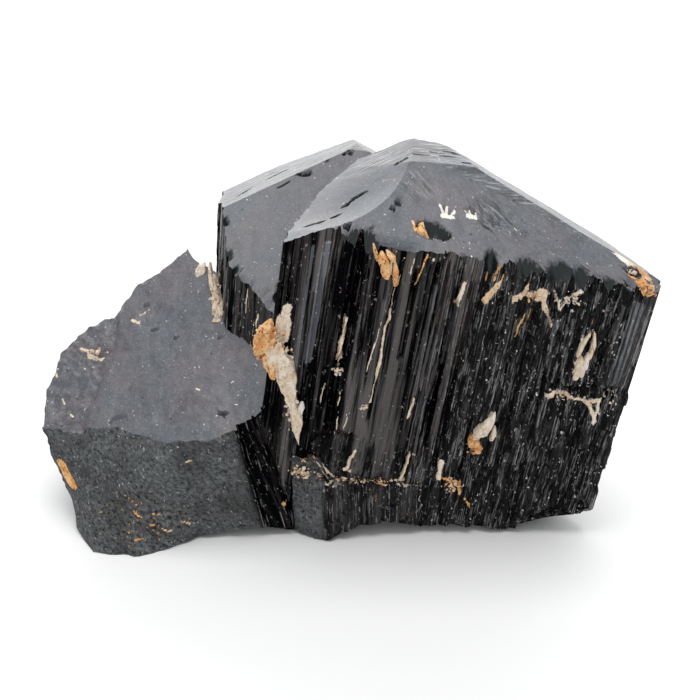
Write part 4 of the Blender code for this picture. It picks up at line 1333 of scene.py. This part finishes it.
def grain_meshes(name, centres, sizes, turns, seed, material, rust):
    """Many angular grains in one mesh.

    In each direction a grain reaches as far as the nearest of a few flat faces: a
    skewed block's six and some random ones. The reach is the soft minimum
    (sum of (n.d / c) to the power p) to the power -1/p over the faces.
    """
    rows, columns, faces, power = GRAIN_DETAIL
    rng = np.random.default_rng(seed)
    count = len(centres)
    tilt = (np.arange(rows) + 0.5) / rows * math.pi - math.pi / 2.0
    around = np.arange(columns) / columns * 2.0 * math.pi
    ring, rise = np.cos(tilt)[:, None], np.sin(tilt)[:, None] + np.zeros(columns)
    rays = np.stack([ring * np.cos(around), ring * np.sin(around), rise], axis=-1)
    block = np.concatenate([np.eye(3), -np.eye(3)]) + rng.uniform(-0.22, 0.22, (count, 6, 3))
    normals = np.concatenate([block, rng.normal(size=(count, faces, 3))], axis=1)
    normals /= np.linalg.norm(normals, axis=-1)[..., None]
    distance = rng.uniform(0.8, 1.1, (count, 6 + faces))
    facing = np.einsum("rcd,nfd->nrcf", rays, normals) / distance[:, None, None, :]
    reach = np.sum(np.clip(facing, 0.0, None) ** power, axis=-1) ** (-1.0 / power)
    body = rays * reach[..., None] * sizes[:, None, None, :] / 2.0
    angle = np.radians(turns)[:, None, None]
    x = body[..., 0] * np.cos(angle) + body[..., 2] * np.sin(angle)
    z = body[..., 2] * np.cos(angle) - body[..., 0] * np.sin(angle)
    body = np.stack([x, body[..., 1], z], axis=-1) + centres[:, None, None, :]
    body[..., 2] = np.maximum(body[..., 2], LOWEST_GRAIN)
    groups = [closed_rings((grain - GROUP_MIDDLE) * MM, {}) for grain in body]
    return joined_mesh(name, groups, rust, material)


# Height in millimetres below which no crumb reaches.
LOWEST_GRAIN = 0.05
# Crusts of small grains: frame, middle, reach, how many, smallest and largest, rust.
CRUSTS = [
    ("main", (10.6, 1.0, 41.4), (0.8, 0.4, 0.3), 24, (0.15, 0.5), 0.0),
    ("main", (12.0, -0.5, 40.4), (1.0, 0.3, 0.5), 30, (0.15, 0.45), 0.9),
    ("main", (-1.4, -0.9, 37.6), (1.8, 0.3, 0.6), 24, (0.15, 0.5), 0.3),
    ("main", (3.6, -0.8, 37.6), (1.6, 0.3, 1.0), 30, (0.15, 0.5), -0.1),
    ("main", (7.0, -0.8, 23.8), (3.4, 0.3, 0.5), 30, (0.15, 0.45), 0.1),
    ("main", (-3.4, -0.9, 14.4), (1.0, 0.3, 1.2), 30, (0.15, 0.5), 0.9),
    ("main", (-5.4, -0.9, 7.6), (1.4, 0.3, 0.7), 50, (0.15, 0.45), 0.6),
    ("main", (-23.0, -1.0, 23.4), (0.4, 0.2, 0.4), 16, (0.15, 0.5), 0.0),
    ("main", (-19.0, -0.9, 18.6), (0.6, 0.2, 0.4), 12, (0.15, 0.4), 0.1),
    ("main", (-18.8, -0.9, 39.6), (1.0, 0.2, 1.6), 24, (0.15, 0.5), 0.9),
    ("drawing", (-35.6, 2.2, 20.5), (1.5, 0.6, 0.2), 24, (0.15, 0.5), 0.0),
    ("drawing", (-8.9, -12.4, 29.0), (1.6, 0.6, 4.0), 90, (0.2, 0.8), 0.2),
    ("drawing", (-10.6, -12.2, 31.0), (0.9, 0.6, 1.6), 40, (0.2, 0.8), 0.9),
    ("drawing", (-7.4, -12.8, 20.5), (0.7, 0.5, 3.0), 50, (0.15, 0.6), 0.2),
    ("drawing", (-18.6, 6.6, 27.6), (0.7, 2.2, 2.2), 50, (0.2, 0.7), 0.2),
    ("drawing", (-6.2, -12.7, 10.8), (1.3, 0.8, 0.8), 150, (0.12, 0.45), 0.35),
    ("drawing", (0.6, -12.7, 9.2), (5.0, 0.6, 0.3), 110, (0.12, 0.36), 0.35),
]
# A small grain's rows, columns, extra faces and how sharp its edges are.
GRAIN_DETAIL = (4, 7, 5, 12)


def make_crusts(material):
    """Loose crusts of small grains in pits, along cracks and on the short crystal."""
    main = CrystalFrame(MAIN_FOOT, MAIN_LEAN)
    rng = np.random.default_rng(111)
    centres, sizes, rust = [], [], []
    for axes, middle, reach, count, (small, large), stain in CRUSTS:
        spread = rng.normal(size=(count, 3)) * 0.5 * np.array(reach) + np.array(middle)
        centres.append(main.drawing(*spread.T) if axes == "main" else spread)
        side = small + (large - small) * rng.uniform(0.0, 1.0, count) ** 2
        sizes.append(side[:, None] * rng.uniform(0.5, 1.4, (count, 3)))
        rust.append(stain + rng.normal(size=count) * 0.25)
    centres, sizes, rust = np.concatenate(centres), np.concatenate(sizes), np.concatenate(rust)
    turns = rng.uniform(-90.0, 90.0, len(centres))
    return grain_meshes("small_grain_crusts", centres, sizes, turns, 112, material, rust)


# Materials

PALE_FELDSPAR = (0.90, 0.78, 0.64, 1.0)
WHITE_FELDSPAR = (0.92, 0.90, 0.84, 1.0)
DEEP_RUST = (0.72, 0.32, 0.10, 1.0)
VIOLET_BLACK = (0.0014, 0.0008, 0.0018, 1.0)
GREEN_BLACK = (0.0007, 0.0012, 0.0014, 1.0)
# Painted shine colour of the bands on the glossy sides.
PAINTED_SHINE_BAND = (0.064, 0.052, 0.049, 1.0)
BLUE_FROST = (0.080, 0.093, 0.110, 1.0)
WARM_FROST = (0.112, 0.103, 0.116, 1.0)
CREAM_SHADE = (0.20, 0.12, 0.07, 1.0)
RUST_BLACK = (0.05, 0.016, 0.008, 1.0)
ROUGH_GREY = (0.030, 0.040, 0.043, 1.0)
ROUGH_BLACK = (0.006, 0.008, 0.008, 1.0)
BROKEN_GREY = (0.180, 0.186, 0.190, 1.0)
DULL_BROWN = (0.034, 0.031, 0.030, 1.0)
# Painted sheen, dark and pale, and painted glints on edges and in streaks.
DARK_SHEEN = (0.070, 0.075, 0.085, 1.0)
PALE_SHEEN = (0.115, 0.120, 0.130, 1.0)
PAINTED_EDGE_GLINT = (0.40, 0.39, 0.40, 1.0)
PAINTED_STREAK_GLINT = (0.30, 0.28, 0.28, 1.0)
CRUMB_WHITE = (0.84, 0.80, 0.74, 1.0)
CRUMB_BROWN = (0.62, 0.38, 0.16, 1.0)
FROST_SHADE = (0.035, 0.037, 0.043, 1.0)
FROST_GRAIN = (0.30, 0.30, 0.31, 1.0)
FURROW_BLACK = (0.014, 0.016, 0.020, 1.0)
STREAK_GREY = (0.40, 0.41, 0.42, 1.0)
FLECK_WHITE = (0.80, 0.80, 0.78, 1.0)
CHIP_BLACK = (0.004, 0.009, 0.010, 1.0)


def feldspar_colour(look, sizes, place, rust):
    """Cream feldspar, orange to brown where the rust is high and white where it is low."""
    cloud = look.noise(place, 0.0012, 4.0, 0.6)
    grain = look.noise(place, 0.0004, 4.0, 0.7)
    cream = look.blend(look.step(cloud, 0.35, 0.6), tuple(sizes.feldspar_colour), PALE_FELDSPAR)
    cream = look.blend(look.step(grain, 0.54, 0.70) * 0.8, cream, CREAM_SHADE)
    cream = look.blend(look.step(rust, -0.2, -0.7) * 0.8, cream, WHITE_FELDSPAR)
    stain = look.blend(look.step(cloud, 0.42, 0.58), tuple(sizes.rust_colour), DEEP_RUST)
    stain = look.blend(look.step(grain, 0.56, 0.64), stain, RUST_BLACK)
    return look.blend(look.step(cloud + rust * 0.9, 0.78, 1.15), cream, stain)


def side_material(name, sizes):
    """Black tourmaline sides: glossy and striated, or rough where they are broken.

    The axes attribute gives places in the crystal's own frame, so that the
    striations run along it. One attribute sets how much each zone shines: the coat
    weight, and a pale shine or sheen painted into the base colour. Gleam is where a
    pale glint is painted on sharp edges, and fill is where a feldspar line shows.
    """
    look = Surface(name)
    place = look.attribute("axes", "Vector")
    gloss, broken, tone_and_shine = look.attribute("gloss"), look.attribute("broken"), look.attribute("tone_and_shine")
    gleam, fill, rust = look.attribute("gleam"), look.attribute("fill"), look.attribute("rust")
    fine = look.noise(look.scaled(place, (1.0, 1.0, 0.03)), 0.00035, 4.0, 0.6)
    band = look.noise(look.scaled(place, (1.0, 1.0, 0.05)), 0.0016, 3.0, 0.7)
    short = look.noise(look.scaled(place, (1.0, 1.0, 0.18)), 0.0007, 4.0, 0.65)
    grit = look.noise(place, 0.0005, 5.0, 0.75)
    blotch = look.noise(place, 0.004, 3.0)
    black = look.blend(look.step(blotch, 0.45, 0.56), VIOLET_BLACK, GREEN_BLACK)
    # Painted shine: the black turns to a pale band colour along the striations, as far as the zone shines.
    glossy = look.blend(look.step(band, 0.48, 0.60) * tone_and_shine, black, PAINTED_SHINE_BAND)
    hollow = look.blend(broken, ROUGH_GREY, ROUGH_BLACK)
    rough = look.blend(look.step(grit, 0.36, 0.62), hollow, BROKEN_GREY)
    rough = look.blend(look.step(blotch, 0.38, 0.70) * 0.6, rough, DULL_BROWN)
    # Painted sheen: an even pale grey on the bands that shine most.
    sheen = look.blend(grit, DARK_SHEEN, PALE_SHEEN)
    glossy = look.blend(look.step(tone_and_shine, 0.95, 1.3), glossy, sheen)
    base = look.blend(gloss, rough, glossy)
    # Painted glint: pale grey on sharp edges.
    base = look.blend(gleam * look.step(short, 0.50, 0.58) * 0.7, base, PAINTED_EDGE_GLINT)
    # Painted glints: short pale streaks along the axis, mostly in broken zones.
    patchy = look.step(look.noise(place, 0.0032, 4.0, 0.6), 0.46, 0.56)
    streak = look.step(short, 0.63, 0.68) * (broken * 0.75 + 0.06) * (patchy * 0.8 + 0.2)
    base = look.blend(streak, base, PAINTED_STREAK_GLINT)
    speck = look.noise(look.scaled(place, (1.0, 1.0, 0.7)), 0.00040, 3.0, 0.6)
    cluster = look.step(look.noise(place, 0.0014, 3.0), 0.46, 0.54)
    spot = look.step(speck, 0.63, 0.67) * cluster * (broken * 0.7 + 0.3)
    crumb = look.blend(look.step(rust, 0.2, 0.6), CRUMB_WHITE, CRUMB_BROWN)
    base = look.blend(spot, base, crumb)
    share = look.step(fill + (grit - 0.5) * 1.3, 0.45, 0.55)
    base = look.blend(share, base, feldspar_colour(look, sizes, place, rust))
    roughness = look.step(fine, 0.3, 0.7) * 0.16 + (1.0 - gloss) * 0.3 + sizes.prism_roughness
    roughness = roughness * (1.0 - share) + share * 0.5
    coat = look.step(band, 0.44, 0.58) * tone_and_shine * 0.9 * gloss * (1.0 - share)
    normal = look.bump(fine * gloss, 0.00008, 0.5)
    normal = look.bump(grit * (1.2 - gloss), 0.00014, 0.6, normal)
    return look.finish({
        "Base Color": base, "Roughness": roughness, "Coat Weight": coat, "Coat Roughness": 0.14,
        "Coat IOR": 1.66, "IOR": 1.06, "Normal": normal,
    })


def frost_material(name, sizes):
    """Frosted upper faces: grey and finely grained, with pale flecks and black chips.

    Streaky is where fine streaks run, along the places that lay gives.
    """
    look = Surface(name)
    place = look.attribute("axes", "Vector")
    chip, fill, rust = look.attribute("chip"), look.attribute("fill"), look.attribute("rust")
    cloud = look.noise(place, 0.007, 4.0)
    mottle = look.noise(place, 0.0016, 4.0, 0.65)
    grain = look.noise(place, 0.0003, 4.0, 0.75)
    base = look.blend(look.step(cloud, 0.38, 0.62), BLUE_FROST, WARM_FROST)
    base = look.blend(look.step(mottle, 0.55, 0.35) * 0.45, base, FROST_SHADE)
    base = look.blend(look.step(grain, 0.5, 0.75) * 0.5, base, FROST_GRAIN)
    streaky, lay = look.attribute("streaky"), look.attribute("lay", "Vector")
    streak = look.noise(lay, 0.00034, 4.0, 0.6)
    sheaf = look.noise(lay, 0.0013, 3.0)
    furrow = look.step(streak + (sheaf - 0.5) * 0.7, 0.53, 0.61) * streaky * 0.85
    base = look.blend(furrow, base, FURROW_BLACK)
    base = look.blend(look.step(streak, 0.45, 0.37) * streaky * 0.6, base, STREAK_GREY)
    cluster = look.step(look.noise(place, 0.0028, 3.0), 0.44, 0.54)
    fleck = look.step(look.noise(place, 0.00042, 3.0, 0.6), 0.67, 0.70) * cluster
    base = look.blend(fleck, base, FLECK_WHITE)
    pit = look.step(look.cells(look.scaled(place, (1.0, 1.2, 1.0)), 0.0017), 0.14, 0.09)
    pit = pit * look.step(look.noise(place, 0.0045, 2.0), 0.5, 0.6)
    dark = look.step(chip + pit * 0.8 + (grain - 0.5) * 0.4, 0.35, 0.65)
    base = look.blend(dark, base, CHIP_BLACK)
    share = look.step(fill + (grain - 0.5), 0.45, 0.55)
    base = look.blend(share, base, feldspar_colour(look, sizes, place, rust))
    roughness = (grain - 0.5) * 0.2 + sizes.frost_roughness - dark * 0.2
    return look.finish({
        "Base Color": base, "Roughness": roughness, "IOR": 1.62,
        "Normal": look.bump(grain + pit * -0.8 - streak * streaky * 1.5, 0.00012, 0.5),
    })


def feldspar_material(name, sizes):
    """Cream feldspar that iron has stained orange to brown in places."""
    look = Surface(name)
    place = look.position()
    grain = look.noise(place, 0.0004, 5.0, 0.75)
    return look.finish({
        "Base Color": feldspar_colour(look, sizes, place, look.attribute("rust")),
        "Roughness": (grain - 0.5) * 0.3 + 0.5,
        "Normal": look.bump(grain, 0.0002, 0.8),
    })


def floor_material(sizes):
    """Plain pale floor."""
    look = Surface("pale_floor")
    tone_and_shine = look.noise(look.position(), 0.05, 2.0)
    light = tuple(sizes.floor_colour)
    dark = (light[0] * 0.99, light[1] * 0.99, light[2] * 0.99, 1.0)
    return look.finish({"Base Color": look.blend(tone_and_shine, light, dark), "Roughness": 0.9})


def shared_material(name, make):
    """A material by name, made once."""
    return bpy.data.materials.get(name) or make(name, bpy.context.scene.tourmaline)


def crystal_materials():
    """The side and top materials of a crystal."""
    sides = shared_material("tourmaline_sides", side_material)
    return sides, shared_material("tourmaline_frost", frost_material)


# Studio

def make_floor(sizes):
    """A round floor: rings of radius r at the height of the specimen's foot."""
    radius = np.array([0.001, 0.2, 0.6, 1.6, 4.0])[:, None]
    angle = np.arange(96) / 96 * 2.0 * math.pi
    x, y = radius * np.cos(angle), radius * np.sin(angle)
    grid = flat_points(x, y)[::-1]
    lower = grid[::-1] - np.array([0.0, 0.0, 0.01])
    vertices, faces, _ = closed_rings(np.concatenate([lower, grid]), {})
    return mesh_object("floor", vertices, faces, {}, floor_material(sizes))


def add_softbox(name, place, aim, width, height, radiance):
    """A rectangular light of even brightness that faces a point."""
    data = bpy.data.lights.new(name, 'AREA')
    data.shape = 'RECTANGLE'
    data.size, data.size_y = width, height
    data.energy = radiance * math.pi * width * height
    lamp = bpy.data.objects.new(name, data)
    lamp.location = place
    lamp.rotation_euler = (Vector(aim) - Vector(place)).to_track_quat('-Z', 'Y').to_euler()
    bpy.context.scene.collection.objects.link(lamp)


def add_camera():
    """Camera at the photograph's viewing angle."""
    data = bpy.data.cameras.new("camera")
    data.lens = CAMERA_LENS
    data.clip_start, data.clip_end = 0.01, 20.0
    camera = bpy.data.objects.new("camera", data)
    angle = math.radians(CAMERA_ELEVATION)
    aim = (np.array(CAMERA_AIM) - GROUP_MIDDLE) * MM
    reach = CAMERA_DISTANCE * MM
    camera.location = aim + reach * np.array([0.0, -math.cos(angle), math.sin(angle)])
    camera.rotation_euler = (math.pi / 2.0 - angle, 0.0, 0.0)
    bpy.context.scene.collection.objects.link(camera)
    bpy.context.scene.camera = camera


def light_world(brightness):
    """An even, near-white surrounding."""
    world = bpy.data.worlds.new("studio")
    world.use_nodes = True
    back = world.node_tree.nodes["Background"]
    back.inputs["Color"].default_value = (0.98, 0.99, 1.0, 1.0)
    back.inputs["Strength"].default_value = brightness
    bpy.context.scene.world = world


# Add-on

class TourmalineSettings(bpy.types.PropertyGroup):
    """Finishes and studio values that a user would change."""

    feldspar_colour: bpy.props.FloatVectorProperty(
        name="Feldspar", description="Colour of the clean feldspar", size=4, subtype='COLOR',
        default=(0.74, 0.58, 0.40, 1.0), min=0.0, max=1.0)
    rust_colour: bpy.props.FloatVectorProperty(
        name="Rust", description="Colour of the iron stain", size=4, subtype='COLOR',
        default=(0.92, 0.57, 0.27, 1.0), min=0.0, max=1.0)
    prism_roughness: bpy.props.FloatProperty(
        name="Prism roughness", description="Least roughness of the striated sides", subtype='FACTOR',
        default=0.16, min=0.0, max=1.0)
    frost_roughness: bpy.props.FloatProperty(
        name="Frost roughness", description="Roughness of the frosted upper faces", subtype='FACTOR',
        default=0.42, min=0.0, max=1.0)
    floor_colour: bpy.props.FloatVectorProperty(
        name="Floor", description="Colour of the floor", size=4, subtype='COLOR',
        default=(0.92, 0.92, 0.92, 1.0), min=0.0, max=1.0)
    overhead: bpy.props.FloatProperty(
        name="Overhead light", description="Brightness of the softbox above", default=4.6, min=0.0)
    backdrop: bpy.props.FloatProperty(
        name="Back light", description="Brightness of the panel behind", default=2.5, min=0.0)
    surround: bpy.props.FloatProperty(
        name="Surround", description="Brightness of the studio's walls", default=0.55, min=0.0)


class PieceOperator:
    """What every operator that builds a piece shares."""

    bl_options = {'REGISTER', 'UNDO'}

    def settle(self, piece, slot, *nodes):
        """Attach a piece to the body and let it stand for nodes; slot is not used."""
        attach(piece, BODY)
        if nodes:
            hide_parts(*nodes)


class TOURMALINE_OT_main_crystal(PieceOperator, bpy.types.Operator):
    """Build the surface of the large prism and of the crystal grown on behind it."""

    bl_idname = "tourmaline.main_crystal"
    bl_label = "Large prism and rear crystal"

    def execute(self, context):
        for make in (make_main_crystal, make_rear_crystal):
            self.settle(make(crystal_materials()), "black_tourmaline", "main_crystal")
        return {'FINISHED'}


class TOURMALINE_OT_left_crystal(PieceOperator, bpy.types.Operator):
    """Build the surface of the broad crystal that leans out to the left."""

    bl_idname = "tourmaline.left_crystal"
    bl_label = "Left crystal"

    def execute(self, context):
        self.settle(make_left_crystal(crystal_materials()), "frosted_tourmaline", "left_crystal")
        return {'FINISHED'}


class TOURMALINE_OT_front_crystal(PieceOperator, bpy.types.Operator):
    """Build the surface of the short crystal at the large one's foot."""

    bl_idname = "tourmaline.front_crystal"
    bl_label = "Short crystal"

    def execute(self, context):
        materials = (crystal_materials()[0],) * 2
        self.settle(make_short_crystal(materials), "black_tourmaline", "front_crystal")
        return {'FINISHED'}


class TOURMALINE_OT_feldspar(PieceOperator, bpy.types.Operator):
    """Build the feldspar in the seams and sockets."""

    bl_idname = "tourmaline.feldspar"
    bl_label = "Feldspar seams and grains"

    def execute(self, context):
        material = shared_material("stained_feldspar", feldspar_material)
        front = blade_piece("front_seam_grains", FRONT_SEAM, DRAWING, 200, material)
        self.settle(front, "cream_feldspar", "feldspar_front_seam")
        back = blade_piece("back_seam_grains", BACK_SEAM, DRAWING, 240, material)
        self.settle(back, "cream_feldspar", "feldspar_back_seam")
        main = CrystalFrame(MAIN_FOOT, MAIN_LEAN)
        for number, (node, lumps) in enumerate(SOCKET_GRAINS.items()):
            name = node.replace("feldspar_", "") + "_grains"
            piece = blade_piece(name, lumps, main, 300 + 40 * number, material)
            self.settle(piece, "rusty_feldspar", node)
        return {'FINISHED'}


class TOURMALINE_OT_crusts(PieceOperator, bpy.types.Operator):
    """Build the crusts of small grains."""

    bl_idname = "tourmaline.crusts"
    bl_label = "Grain crusts"

    def execute(self, context):
        material = shared_material("stained_feldspar", feldspar_material)
        self.settle(make_crusts(material), "cream_feldspar")
        return {'FINISHED'}


class TOURMALINE_OT_stage(bpy.types.Operator):
    """Set up the floor, the lights and the camera."""

    bl_idname = "tourmaline.stage"
    bl_label = "Studio"

    def execute(self, context):
        sizes = context.scene.tourmaline
        make_floor(sizes)
        add_softbox("overhead_softbox", (0.0, -0.02, 0.62), (0.0, 0.0, 0.02), 0.42, 0.42, sizes.overhead)
        add_softbox("back_panel", (0.0, 0.75, 0.27), (0.0, 0.0, 0.10), 1.5, 0.60, sizes.backdrop)
        light_world(sizes.surround)
        add_camera()
        context.scene.view_settings.view_transform = 'Standard'
        return {'FINISHED'}


class TOURMALINE_PT_panel(bpy.types.Panel):
    """Sidebar panel with the values and one button for each operator."""

    bl_idname = "TOURMALINE_PT_panel"
    bl_label = "Tourmaline"
    bl_space_type = 'VIEW_3D'
    bl_region_type = 'UI'
    bl_category = "Tourmaline"

    def draw(self, context):
        for name in TourmalineSettings.__annotations__:
            self.layout.prop(context.scene.tourmaline, name)
        for operator in OPERATORS:
            self.layout.operator(operator.bl_idname)


OPERATORS = (
    TOURMALINE_OT_main_crystal, TOURMALINE_OT_left_crystal, TOURMALINE_OT_front_crystal,
    TOURMALINE_OT_feldspar, TOURMALINE_OT_crusts, TOURMALINE_OT_stage,
)


def register():
    """Register the settings, operators and panel."""
    for item in (TourmalineSettings, *OPERATORS, TOURMALINE_PT_panel):
        bpy.utils.register_class(item)
    bpy.types.Scene.tourmaline = bpy.props.PointerProperty(type=TourmalineSettings)


def unregister():
    """Take the settings, operators and panel away again."""
    del bpy.types.Scene.tourmaline
    for item in reversed((TourmalineSettings, *OPERATORS, TOURMALINE_PT_panel)):
        bpy.utils.unregister_class(item)


def main():
    """Build every piece and the stage."""
    register()
    bpy.ops.tourmaline.main_crystal()
    bpy.ops.tourmaline.left_crystal()
    bpy.ops.tourmaline.front_crystal()
    bpy.ops.tourmaline.feldspar()
    bpy.ops.tourmaline.crusts()
    bpy.ops.tourmaline.stage()
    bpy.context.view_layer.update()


if __name__ == "__main__":
    main()
